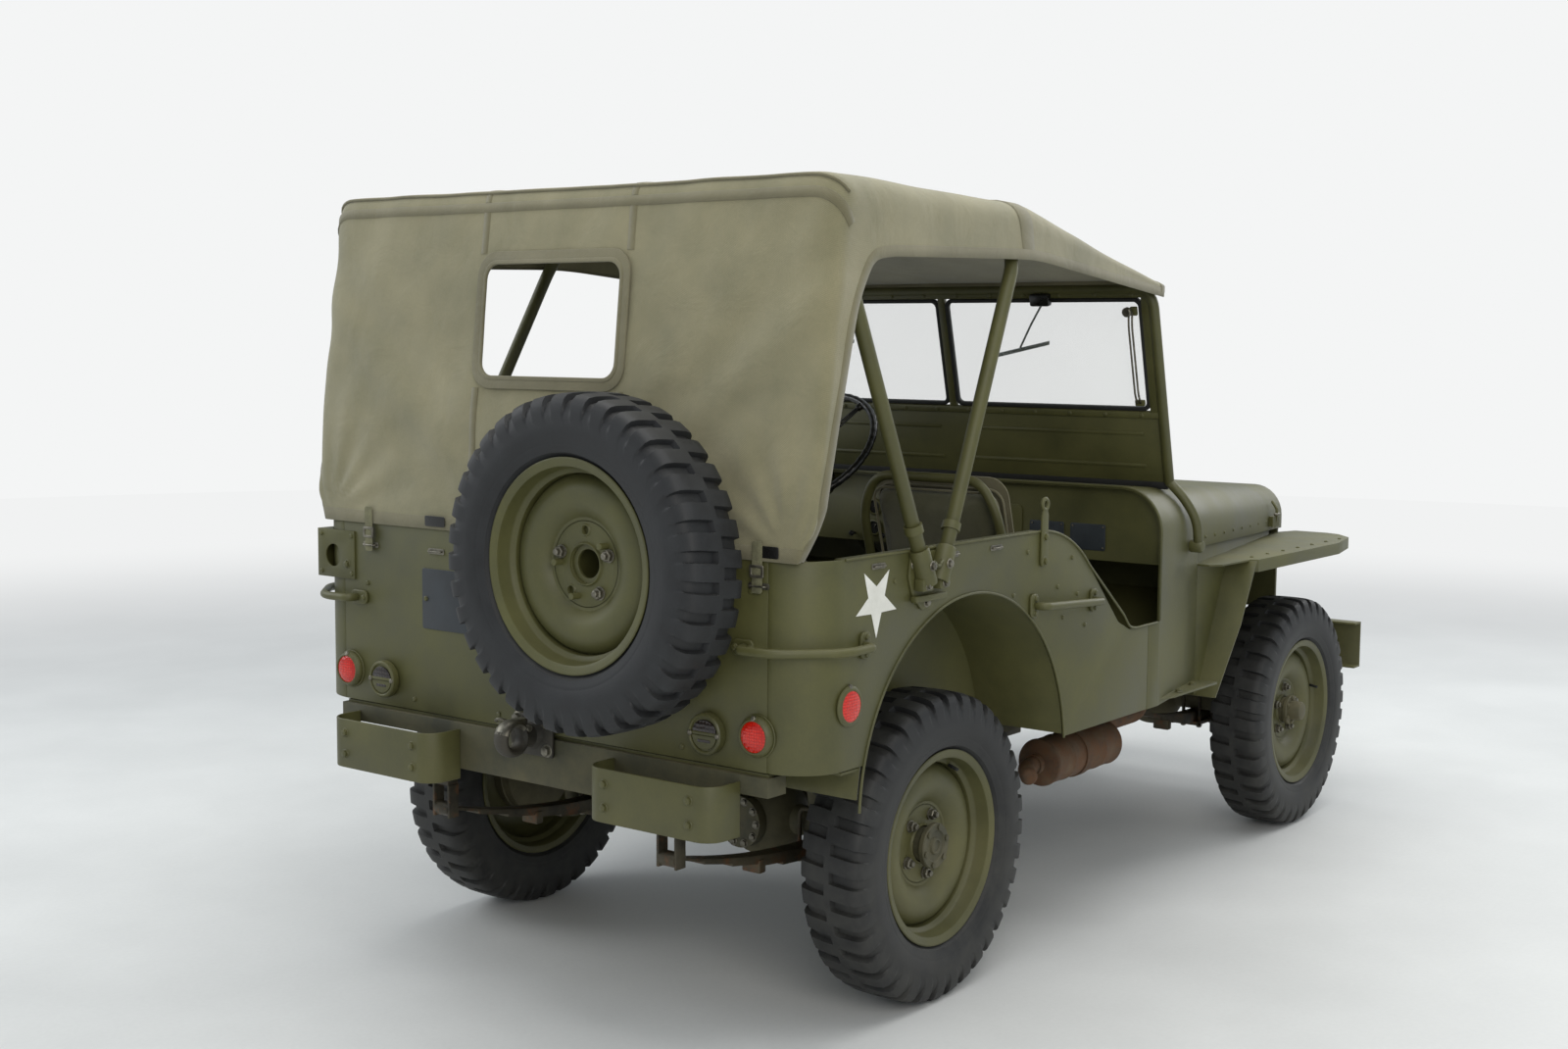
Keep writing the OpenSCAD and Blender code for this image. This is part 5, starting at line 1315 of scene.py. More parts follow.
def addRearLamps():
    rims, lenses, smoked, screws = [], [], [], []
    redRim = [(0.0, 0.0405), (0.004, 0.042), (0.009, 0.042), (0.015, 0.0385), (0.0185, 0.035),
        (0.0185, 0.0325), (0.0165, 0.0315), (0.01, 0.0315), (0.01, 0.0)]
    redGlass = [(0.009, 0.0318), (0.0165, 0.0315), (0.019, 0.027), (0.0208, 0.018), (0.0216, 0.008),
        (0.0218, 0.0)]
    for y, z in rearLamps["redPlaces"]:
        rims.append(turned(redRim, (tailX, y, z), (-1, 0, 0)))
        lenses.append(turned(redGlass, (tailX, y, z), (-1, 0, 0)))
        rims.append(ringSweep((tailX - 0.0015, y, z), 0.043, 0.0022))
        screws.append((Vector((tailX - 0.016, y, z + 0.0375)), (-1, 0, 0.4)))
    for sign in (1, -1):
        x, z = rearLamps["sidePlace"]
        flat = [(a * 0.48, r) for a, r in redRim]
        rims.append(turned(flat, (x, sign * bodySide, z), (0, sign, 0)))
        lenses.append(turned([(a * 0.48, r) for a, r in redGlass], (x, sign * bodySide, z), (0, sign, 0)))
        screws.append((Vector((x, sign * (bodySide + 0.004), z + 0.0395)), (0, sign, 0.3)))
    can = [(0.0, 0.04), (0.003, 0.0435), (0.013, 0.044), (0.018, 0.043), (0.0205, 0.0405), (0.021, 0.0375),
        (0.0195, 0.0355), (0.0165, 0.035), (0.0165, 0.0)]
    for y, z in rearLamps["blackoutPlaces"]:
        rims.append(turned(can, (tailX, y, z), (-1, 0, 0)))
        # hooded upper window and a slotted lower cover
        half = [(0.031 * cos(radians(a)), 0.004 + 0.026 * sin(radians(a))) for a in range(0, 181, 12)]
        smoked.append(plate(half, 0.004, facingX(tailX - 0.0175, y, z), (), 0.001))
        rims.append(block((tailX - 0.0215, y - 0.033, z - 0.002), (tailX - 0.015, y + 0.033, z + 0.005),
            0.002))
        cover = [(0.032 * cos(radians(a)), -0.003 + 0.029 * sin(radians(a))) for a in range(180, 361, 12)]
        rims.append(plate(cover, 0.003, facingX(tailX - 0.018, y, z), (), 0.001))
        smoked.append(plate(roundedRectangle(0.034, 0.006, 0.002, centre=(0, -0.014)), 0.0035,
            facingX(tailX - 0.0184, y, z), (), 0.0006))
        for dy in (-0.036, 0.036):
            screws.append((Vector((tailX - 0.02, y + dy, z)), (-1, 0, 0)))
    addPiece("rearLampRims", rims, olivePaint, replaces=["rear_lamps"])
    addPiece("redReflectors", lenses, redLens)
    addPiece("blackoutWindows", smoked, smokedLens)
    addFasteners("rearLampScrews", screws, roundScrew, wornSteel)


addRearLamps()


def addHeadlamps():
    rims, lenses, markers, bowls = [], [], [], []
    for sign in (1, -1):
        place = (1.372, sign * 0.375, 0.83)
        rims.append(turned([(0.0, 0.077), (0.014, 0.0825), (0.022, 0.0835), (0.028, 0.08), (0.03, 0.0745),
            (0.026, 0.072), (0.012, 0.073), (0.0, 0.074)], place, (1, 0, 0), 64, True))
        lenses.append(turned([(0.008, 0.0735), (0.022, 0.0735), (0.028, 0.064), (0.033, 0.046),
            (0.0355, 0.024), (0.0362, 0.0)], place, (1, 0, 0), 64))
        bowls.append(turned([(-0.05, 0.02), (-0.03, 0.048), (-0.004, 0.068), (0.006, 0.0735)], place,
            (1, 0, 0), 48))
        low = (1.402, sign * 0.375, 0.7)
        rims.append(turned([(0.0, 0.029), (0.006, 0.03), (0.012, 0.029), (0.0155, 0.0255), (0.0155, 0.0225),
            (0.01, 0.0215), (0.01, 0.0)], low, (1, 0, 0), 40))
        markers.append(turned([(0.009, 0.0218), (0.0145, 0.0215), (0.0155, 0.014), (0.0158, 0.0)], low,
            (1, 0, 0), 40))
        rims.append(block((1.4165, sign * 0.375 - 0.022, 0.698), (1.4185, sign * 0.375 + 0.022, 0.703),
            0.001))
    addPiece("headlampRims", rims, olivePaint)
    addPiece("headlampBowls", bowls, wornSteel)
    addPiece("headlampLenses", lenses, clearLens)
    addPiece("markerLenses", markers, smokedLens)
    # the radiator's fins and tubes behind the slots
    fins = []
    for k in range(27):
        y = -0.26 + 0.52 * k / 26
        fins.append(block((1.3605, y - 0.0012, 0.59), (1.366, y + 0.0012, 0.93), 0.0005, 1))
    for k in range(34):
        z = 0.595 + 0.33 * k / 33
        fins.append(block((1.3605, -0.262, z - 0.0008), (1.364, 0.262, z + 0.0008), 0.0004, 1))
    addPiece("radiatorFins", fins, coreBlack)


addHeadlamps()
print("lamps made")


# round bar handles with flattened, bolted ends
def addHandles():
    bars, bolts = [], []
    for sign in (1, -1):
        side = [(-0.61, 0.76, 0.873), (-0.606, 0.786, 0.873), (-0.334, 0.786, 0.857), (-0.33, 0.76, 0.857)]
        bars.append(sweep(filleted([(x, sign * y, z) for x, y, z in side], 0.028, 8), 0.0095, 14))
        corner = [(-1.298, 0.76, 0.865), (-1.302, 0.786, 0.865), (-1.395, 0.786, 0.865), (-1.501, 0.68,
            0.865), (-1.501, 0.594, 0.865), (-1.474, 0.59, 0.865)]
        bars.append(sweep(filleted([(x, sign * y, z) for x, y, z in corner], 0.034, 8), 0.0095, 14))
        for x, z in ((-0.614, 0.873), (-0.326, 0.857), (-1.29, 0.865)):
            bars.append(plate(roundedRectangle(0.034, 0.056, 0.013, centre=(x, z)), 0.008,
                facingY(sign * 0.7562), (), 0.003))
            for dz in (-0.018, 0.018):
                bolts.append((Vector((x, sign * 0.76, z + dz)), (0, sign, 0)))
        bars.append(plate(roundedRectangle(0.056, 0.034, 0.013, centre=(sign * 0.584, 0.865)), 0.008,
            facingX(tailX - 0.0042), (), 0.003))
        for dy in (-0.019, 0.019):
            bolts.append((Vector((tailX - 0.0082, sign * 0.584 + dy, 0.865)), (-1, 0, 0)))
    addPiece("grabHandles", bars, olivePaint, replaces=["grab_handles"])
    addFasteners("handleBolts", bolts, {"head radius": 0.0065, "head height": 0.004, "washer radius": 0.008,
        "sides": 14}, olivePaint)


addHandles()


# the tow hook: forged lower horn, hinged latch over it, and its bolted base
def addTowHook():
    x, z = -1.543, 0.614
    forged, latch, bolts = [], [], []
    forged.append(block((-1.4815, -0.06, 0.566), (-1.471, 0.06, 0.657), 0.005, 3))
    forged.append(turned([(0, 0.034), (0.006, 0.03), (0.012, 0.026), (0.034, 0.0255), (0.04, 0.027)],
        (-1.48, 0, z), (-1, 0, 0), 36))
    arc = []
    for k in range(25):
        t = radians(150 + 270 * k / 24)
        arc.append((x + 0.0315 * cos(t), 0, z + 0.0315 * sin(t)))
    radii = [0.0105 if k < 20 else 0.0105 - 0.0035 * (k - 20) / 4 for k in range(25)]
    forged.append(sweep(arc, radii, 16, squash=1.9, flat=(0, 1, 0)))
    arc = []
    for k in range(14):
        t = radians(35 + 125 * k / 13)
        arc.append((x + 0.033 * cos(t), 0, z + 0.033 * sin(t)))
    latch.append(sweep(arc, 0.0088, 14, squash=2.35, flat=(0, 1, 0)))
    latch.append(block((-1.541, -0.0125, 0.6405), (-1.505, 0.0125, 0.6555), 0.004))
    latch.append(turned([(0, 0.0062), (0.001, 0.0075), (0.05, 0.0075), (0.051, 0.0062)], (-1.512, -0.0255,
        0.634), (0, 1, 0), 18))
    latch.append(sweep(filleted([(-1.535, 0.02, 0.648), (-1.548, 0.038, 0.654), (-1.54, 0.052, 0.646)], 0.01),
        0.0035, 8))
    for y, dz in ((-0.045, 0.03), (0.045, 0.03), (-0.045, -0.032), (0.045, -0.032)):
        bolts.append((Vector((-1.4815, y, z + dz)), (-1, 0, 0)))
    addPiece("towHook", forged, castIron, replaces=["tow_hook"])
    addPiece("towLatch", latch, wornSteel)
    # chain of the cotter pin
    links = []
    for k in range(9):
        t = k / 8
        spot = Vector((-1.52 - 0.012 * sin(pi * t), 0.03 + 0.034 * t, 0.64 - 0.04 * sin(pi * t)))
        link = ringSweep((0, 0, 0), 0.0048, 0.0012, "x", 16, 6)
        links.append(moved(link, Matrix.Translation(spot) @ Matrix.Rotation(k * pi / 2, 4, (0, 1, 0.4))))
    addPiece("latchChain", links, wornSteel)
    addFasteners("towHookBolts", bolts, bigBolt, wornSteel)


addTowHook()


# exhaust: muffler with rolled end seams and bent pipes
def addExhaust():
    y, z = -0.5365, 0.4
    parts = [turned([(0.0, 0.024), (0.004, 0.05), (0.008, 0.06), (0.014, 0.0622), (0.02, 0.06), (0.09, 0.06),
        (0.094, 0.0615), (0.1, 0.0615), (0.104, 0.06), (0.256, 0.06), (0.26, 0.0615), (0.266, 0.0615),
        (0.27, 0.06), (0.34, 0.06), (0.346, 0.0622), (0.352, 0.06), (0.356, 0.05), (0.36, 0.024)], (-0.2, y,
            z), (1, 0, 0), 56)]
    tail = filleted([(-0.196, y, z), (-0.262, y, z), (-0.31, y - 0.04, z - 0.01)], 0.04)
    parts.append(sweep(tail, 0.022, 20))
    front = filleted([(0.156, y, z), (0.22, y, z), (0.32, -0.4315, 0.4), (0.587, -0.4315, 0.4),
        (0.627, -0.4165, 0.606), (0.647, -0.174, 0.676), (0.727, -0.174, 0.676)], 0.06, 8)
    parts.append(sweep(front, 0.022, 20))
    for x in (-0.215, 0.172):
        parts.append(turned([(0, 0.0225), (0, 0.0265), (0.018, 0.0265), (0.018, 0.0225)], (x - 0.009, y, z),
            (1, 0, 0), 28, True))
    parts.append(block((-0.048, y - 0.004, 0.455), (-0.012, -0.3715, 0.462), 0.002))
    parts.append(turned([(0, 0.0602), (0, 0.064), (0.03, 0.064), (0.03, 0.0602)], (-0.045, y, z), (1, 0, 0),
        56, True))
    addPiece("exhaust_finish", parts, rustySteel, replaces=["exhaust"])


addExhaust()


# steering wheel: moulded rim with finger grips, three sprung spokes, horn button
def addSteeringWheel():
    place = Matrix.Translation((-0.035, 0.335, 1.17)) @ Matrix.Rotation(radians(135), 4, "Y")
    steps = 180
    rim = []
    radii = []
    for k in range(steps):
        t = 2 * pi * k / steps
        rim.append((0.208 * cos(t), 0.208 * sin(t), 0))
        radii.append(0.0106 + 0.0007 * cos(t * 45))
    parts = [sweep(rim, radii, 14, closed=True)]
    for angle in (90, 210, 330):
        turn = Matrix.Rotation(radians(angle), 4, "Z")
        for shift in (-0.007, 0.007):
            parts.append(moved(sweep(filleted([(0.02, shift, 0.01), (0.11, shift, 0.006), (0.203, shift * 0.6,
                0)], 0.04), 0.0034, 10), turn))
        parts.append(moved(sweep([(0.186, 0, 0.001), (0.205, 0, 0)], 0.0085, 12, squash=1.2), turn))
    hub = turned([(-0.006, 0.024), (-0.004, 0.0295), (0.012, 0.03), (0.018, 0.028), (0.0235, 0.02),
        (0.0237, 0.0)], (0, 0, 0), (0, 0, 1), 40)
    button = turned([(0.0, 0.0), (0.0005, 0.014), (0.003, 0.0165), (0.0085, 0.0165)], (0, 0, -0.0125),
        (0, 0, 1), 32)
    addPiece("steeringRim", [moved(m, place) for m in parts + [hub]], bakelite, "steering_hand_wheel",
        replaces=["steering_wheel"])
    addPiece("hornButton", moved(button, place), wornSteel, "steering_hand_wheel")


addSteeringWheel()
print("handles, hook, exhaust and steering wheel made")


# dials, data plates, levers and pedals
def addCabin():
    rings, faces, plates, levers, knobs, rubber, screws = [], [], [], [], [], [], []
    x = 0.0645
    for y, z, r in ((0.075, 0.985, 0.04), (0.165, 1.005, 0.024), (0.165, 0.945, 0.024), (-0.015, 1.005,
            0.024), (-0.015, 0.945, 0.024)):
        rings.append(turned([(0, r), (0.004, r + 0.001), (0.007, r - 0.001), (0.008, r - 0.005),
            (0.005, r - 0.006), (0.003, r - 0.006), (0.003, 0)], (x, y, z), (-1, 0, 0), 40))
        faces.append(turned([(0.0032, r - 0.006), (0.0036, 0)], (x, y, z), (-1, 0, 0), 40))
        needle = Vector((0, cos(r * 90), sin(r * 90)))
        levers.append(sweep([Vector((x - 0.0048, y, z)), Vector((x - 0.0048, y, z)) + needle * (r - 0.012)],
            0.0009, 6))
    for y, wide, tall in ((-0.4, 0.105, 0.07), (-0.525, 0.105, 0.07), (0.47, 0.08, 0.05)):
        plates.append(plate(roundedRectangle(wide, tall, 0.005, centre=(y, 0.965)), 0.0016,
            facingX(x - 0.0006), (), 0.0006))
        for dy in (-wide / 2 + 0.007, wide / 2 - 0.007):
            for dz in (-tall / 2 + 0.007, tall / 2 - 0.007):
                screws.append((Vector((x - 0.0014, y + dy, 0.965 + dz)), (-1, 0, 0)))
    # switches and the pull knobs
    for k in range(4):
        y = 0.235 - 0.055 * k
        knobs.append(turned([(0, 0.003), (0.012, 0.003), (0.013, 0.007), (0.02, 0.008), (0.023, 0.006),
            (0.024, 0)], (x, y, 0.925), (-1, 0, 0), 18))
    # change-speed lever and the two transfer levers
    for points, radius in (([(0.165, 0.01, 0.56), (0.14, 0.01, 0.7), (0.03, 0.02, 0.905)], 0.008),
            ([(0.06, -0.13, 0.56), (0.045, -0.13, 0.7), (0.0, -0.12, 0.8)], 0.0065), ([(0.06, -0.175, 0.56),
                (0.045, -0.175, 0.69), (-0.01, -0.17, 0.78)], 0.0065)):
        levers.append(sweep(filleted(points, 0.06), radius, 12))
        tip, way = Vector(points[-1]), (Vector(points[-1]) - Vector(points[-2])).normalized()
        knobs.append(turned([(-0.004, 0.008), (0.004, 0.014), (0.014, 0.0185), (0.024, 0.0165),
            (0.031, 0.009), (0.033, 0)], tip, way, 24))
    rubber.append(turned([(0, 0.05), (0.006, 0.048), (0.016, 0.034), (0.022, 0.03), (0.034, 0.02),
        (0.046, 0.01)], (0.166, 0.01, 0.552), (-0.17, 0, 1), 32))
    # handbrake
    levers.append(sweep(filleted([(0.12, -0.05, 0.56), (0.075, -0.05, 0.76), (0.01, -0.05, 0.79)], 0.04),
        0.007, 12))
    # pedals on their arms
    for y, wide in ((0.445, 0.075), (0.29, 0.075)):
        rubber.append(moved(block((-0.006, -wide / 2, -0.034), (0.008, wide / 2, 0.034), 0.004),
            Matrix.Translation((0.15, y, 0.735)) @ Matrix.Rotation(radians(38), 4, "Y")))
        levers.append(sweep(filleted([(0.156, y, 0.732), (0.2, y, 0.69), (0.25, y, 0.65)], 0.03), 0.009, 10,
            squash=0.6))
    rubber.append(moved(block((-0.004, -0.024, -0.075), (0.006, 0.024, 0.075), 0.004),
        Matrix.Translation((0.205, 0.205, 0.69)) @ Matrix.Rotation(radians(38), 4, "Y")))
    addPiece("dialRings", rings, olivePaint)
    addPiece("dialFaces", faces, bakelite)
    addPiece("dataPlates", plates, darkPlate)
    addPiece("levers", levers, wornSteel)
    addPiece("leverKnobs", knobs, bakelite)
    addPiece("pedalsAndBoot", rubber, softRubber)
    addFasteners("plateScrews", screws, {"head radius": 0.0028, "head height": 0.0012, "washer radius": 0.003,
        "sides": 12}, wornSteel)
    # glove box door beside the plates, and the switch panel's raised edge
    door = [plate(roundedRectangle(0.215, 0.11, 0.015, centre=(-0.215, 0.985)), 0.004, facingX(x - 0.001), (),
        0.0015), sweep([(x - 0.01, -0.245, 0.95), (x - 0.01, -0.185, 0.95)], 0.004, 10)]
    # strengthening ribs pressed in the floors
    for k in range(5):
        y = -0.36 + 0.18 * k
        door.append(block((-1.43, y - 0.014, 0.6105), (-0.66, y + 0.014, 0.6155), 0.0024))
    for k in range(4):
        y = (-0.54, -0.4, 0.4, 0.54)[k]
        door.append(block((-0.6, y - 0.012, 0.5505), (0.06, y + 0.012, 0.555), 0.0022))
    # tunnel cover over the gearbox
    door.append(block((-0.06, -0.185, 0.5505), (0.33, 0.13, 0.578), 0.012, 3))
    addPiece("cabinPressings", door, olivePaint)
    # filler cap of the tank under the driver's seat
    addPiece("fillerCap", [turned([(0, 0.03), (0.004, 0.034), (0.014, 0.034), (0.018, 0.03), (0.019, 0)],
        (-0.23, 0.545, 0.7195), (0, 0, 1), 12)], chassisEnamelInPaintedShade)


addCabin()


# straps, loops, plates and the small fittings of the body
def addFittings():
    metal, painted, straps, screws, bolts = [], [], [], [], []
    # upright strap posts with an eye at the top
    for sign in (1, -1):
        y = sign * 0.7565
        painted.append(plate([(-0.584, 0.962), (-0.562, 0.962), (-0.558, 0.972), (-0.558, 1.08),
            (-0.564, 1.098), (-0.58, 1.098), (-0.586, 1.08), (-0.588, 0.972)], 0.006, facingY(y), (), 0.0018))
        painted.append(ringSweep((-0.572, y, 1.106), 0.0125, 0.005, "y", 28, 10))
        bolts.append((Vector((-0.573, sign * 0.7595, 0.974)), (0, sign, 0)))
        bolts.append((Vector((-0.573, sign * 0.7595, 1.03)), (0, sign, 0)))
        for x, z in ((-0.43, 0.97), (-0.498, 0.906), (-0.47, 0.83), (-0.402, 0.88), (-0.7, 0.905),
                (-0.64, 1.0), (-1.18, 0.985), (-0.36, 0.8)):
            screws.append((Vector((x, sign * 0.7523, z)), (0, sign, 0)))
        # footman loops that the top's straps pass through
        for x in (-1.24, -0.96, -0.78):
            metal.append(sweep(filleted([(x - 0.018, sign * 0.753, 1.022), (x - 0.018, sign * 0.759, 1.022),
                (x + 0.018, sign * 0.759, 1.022), (x + 0.018, sign * 0.753, 1.022)], 0.004), 0.0022, 8))
            metal.append(plate(roundedRectangle(0.05, 0.012, 0.005, centre=(x, 1.022)), 0.0016,
                facingY(sign * 0.7528), (), 0.0005))
        # catches that hold the hood down
        painted.append(block((1.235, sign * 0.527, 0.906), (1.285, sign * 0.546, 0.938), 0.004))
        painted.append(sweep(filleted([(1.262, sign * 0.54, 0.905), (1.262, sign * 0.548, 0.96),
            (1.262, sign * 0.53, 0.985)], 0.01), 0.0045, 10))
        metal.append(sweep([(1.246, sign * 0.547, 0.945), (1.278, sign * 0.547, 0.945)], 0.0045, 10))
        # foot step bolts under the ledge
        bolts.append((Vector((0.18, sign * 0.744, 0.557)), (0, 0, 1)))
        bolts.append((Vector((0.3, sign * 0.726, 0.557)), (0, 0, 1)))
        # screws along the fender's top, and the bolts along the fender's inner edge
        for k in range(7):
            x = 0.65 + 0.11 * k
            screws.append((Vector((x, sign * 0.735, 0.8752)), (0, 0, 1)))
        for k in range(5):
            bolts.append((Vector((0.7 + 0.16 * k, sign * 0.3722, 0.6)), (0, sign, 0)))
    for k in range(5):
        y = (-0.62, -0.36, -0.03, 0.32, 0.545)[k]
        metal.append(sweep(filleted([(-1.4655, y - 0.02, 0.992), (-1.474, y - 0.02, 0.992), (-1.474, y + 0.02,
            0.992), (-1.4655, y + 0.02, 0.992)], 0.004), 0.0022, 8))
        metal.append(plate(roundedRectangle(0.054, 0.013, 0.005, centre=(y, 0.992)), 0.0016, facingX(-1.466),
            (), 0.0005))
        if k in (0, 1, 4):
            # webbing strap from the curtain's hem through its loop, with a buckle
            straps.append(plate(roundedRectangle(0.026, 0.105, 0.006, centre=(y, 1.03)), 0.0022,
                facingX(-1.4722), (), 0.0008))
            metal.append(plate(roundedRectangle(0.036, 0.026, 0.004, centre=(y, 1.022)), 0.003,
                facingX(-1.4738), [roundedRectangle(0.024, 0.014, 0.002, centre=(y, 1.022))], 0.0012))
    # blank dark plate beside the spare wheel
    addPiece("darkRearPlate", plate(roundedRectangle(0.21, 0.14, 0.006, centre=(0.262, 0.881)), 0.0022,
        facingX(-1.4664), (), 0.0008), darkPlate)
    for y in (0.17, 0.354):
        screws.append((Vector((-1.4676, y, 0.881)), (-1, 0, 0)))
    for y, z in ((-0.36, 0.72), (0.12, 0.64), (-0.12, 0.64), (0.4, 0.64), (-0.42, 0.64), (0.56, 0.9),
            (-0.6, 0.98), (0.0, 0.98)):
        screws.append((Vector((-1.4654, y, z)), (-1, 0, 0)))
    # screws of the antenna bracket, and black plates as painted shade in the slots that a strap passes in the
    # curtain
    for y, z in ((0.612, 0.917), (0.612, 1.008), (0.722, 0.917), (0.722, 1.008)):
        screws.append((Vector((-1.4692, y, z)), (-1, 0, 0)))
    bolts.append((Vector((-1.4692, 0.628, 0.94)), (-1, 0, 0)))
    # black plates paint the shade seen inside the curtain's strap slots
    slotShades = []
    for y in (0.318, -0.64):
        slotShades.append(plate(roundedRectangle(0.066, 0.024, 0.004, centre=(y, 1.0615)), 0.0016,
            facingX(-1.4712), (), 0.0006))
    addPiece("curtainSlotShade", slotShades, bakelite)
    # nuts that carry the spare wheel
    addPiece("spareNuts", [moved(m, towards((-1.5925, -0.28, 1.022),
        (-1, 0, 0)) @ Matrix.Rotation(radians(90), 4, "X")) for m in nutShape()[3:6] + nutShape()[9:15]],
        wornSteel)
    for y in (-0.33, -0.242):
        for z in (0.87, 0.975):
            bolts.append((Vector((-1.4655, y + (0.022 if y > -0.28 else -0.012), z)), (-1, 0, 0)))
    # bumper and bumperette bolts
    for y in (-0.52, -0.29, 0.3, 0.53):
        for z in (0.51, 0.56):
            bolts.append((Vector((-1.5632, y, z)), (-1, 0, 0)))
    for y in (-0.349, 0.349):
        for dy in (0.06, -0.06):
            bolts.append((Vector((1.6752, y + dy, 0.493)), (1, 0, 0)))
    addPiece("strapPosts", painted, olivePaint)
    addPiece("footmanLoops", metal, wornSteel)
    addPiece("webbingStraps", straps, webbing)
    addFasteners("bodyScrews", screws, roundScrew, olivePaint)
    addFasteners("bodyBolts", bolts, hexBolt, olivePaint)
    # blocks on the hood for the folded windscreen, and the rivets along the hood's hinge line and its sides
    blocks = []
    for sign in (1, -1):
        y = sorted((sign * 0.332, sign * 0.428))
        blocks.append(block((0.458, y[0], 1.1085), (0.494, y[1], 1.12), 0.004))
    addPiece("hoodRestPads", blocks, softRubber, "hood_lid")
    rivets = []
    for k in range(14):
        y = -0.4 + 0.8 * k / 13
        rivets.append((Vector((0.42, y, 1.0838)), (0, 0, 1)))
    for k in range(8):
        x = 0.46 + 0.105 * k
        for sign in (1, -1):
            rivets.append((Vector((x, sign * (0.6915 - 0.191 * (x - 0.396) / 1.0), 0.945 - 0.02 * k / 7)),
                (0, sign, 0.05)))
    addFasteners("hoodRivets", rivets, {"head radius": 0.0045, "head height": 0.0018, "washer radius": 0.005,
        "sides": 14}, olivePaint, "hood_lid")


addFittings()


# stencilled five-pointed stars, point down, on both rear sides
star = {"place": (-1.246, 0.95), "radius": 0.076, "lift": 0.0005}


def addStars():
    meshes = []
    for sign in (1, -1):
        outline = []
        for k in range(10):
            r = star["radius"] if k % 2 == 0 else star["radius"] * 0.4
            t = radians(-90 + 36 * k)
            outline.append((star["place"][0] + r * cos(t), star["place"][1] + r * sin(t)))
        meshes.append(plate(outline, 0.0008, facingY(sign * (bodySide + star["lift"])), (), 0.0002, 0))
    addPiece("whiteStars", meshes, whitePaint)


addStars()


# rolled wire edges along the body's rim and round the arches
def addEdges():
    parts = []
    for sign in (1, -1):
        y = sign * 0.7525
        arch = [(-0.875 + 0.4235 * cos(t), y, 0.505 + 0.4235 * sin(t))
            for t in [radians(4.5 + (180 - 2 - 4.5) * k / 60) for k in range(61)]]
        parts.append(sweep(arch, 0.0032, 8))
        rim = [(-1.355, y, 1.0435), (-0.585, y, 1.0435)]
        for k in range(1, 17):
            t = radians(45 * k / 16)
            rim.append((-0.585 + 0.34 * sin(t), y, 1.045 - 0.0015 - 0.34 * (1 - cos(t))))
        rim += [(-0.155, y, 0.789 + 0.0095), (-0.128, y, 0.768), (-0.098, y, 0.7612), (0.028, y, 0.7612)]
        parts.append(sweep(filleted(rim, 0.03, 4), 0.0032, 8))
    # sweep of the cowl's opening beside the doors
    hoop = [(0.0415, 0.7515, 0.765), (0.0415, 0.7515, 0.99)]
    for k in range(1, 13):
        t = radians(90 * k / 12)
        hoop.append((0.0415, 0.637 + 0.1145 * cos(t), 0.99 + 0.1145 * sin(t)))
    hoop += [(p[0], -p[1], p[2]) for p in reversed(hoop)]
    parts.append(sweep(hoop, 0.0042, 8))
    addPiece("rolledEdges", parts, olivePaint)


addEdges()
print("fittings made")
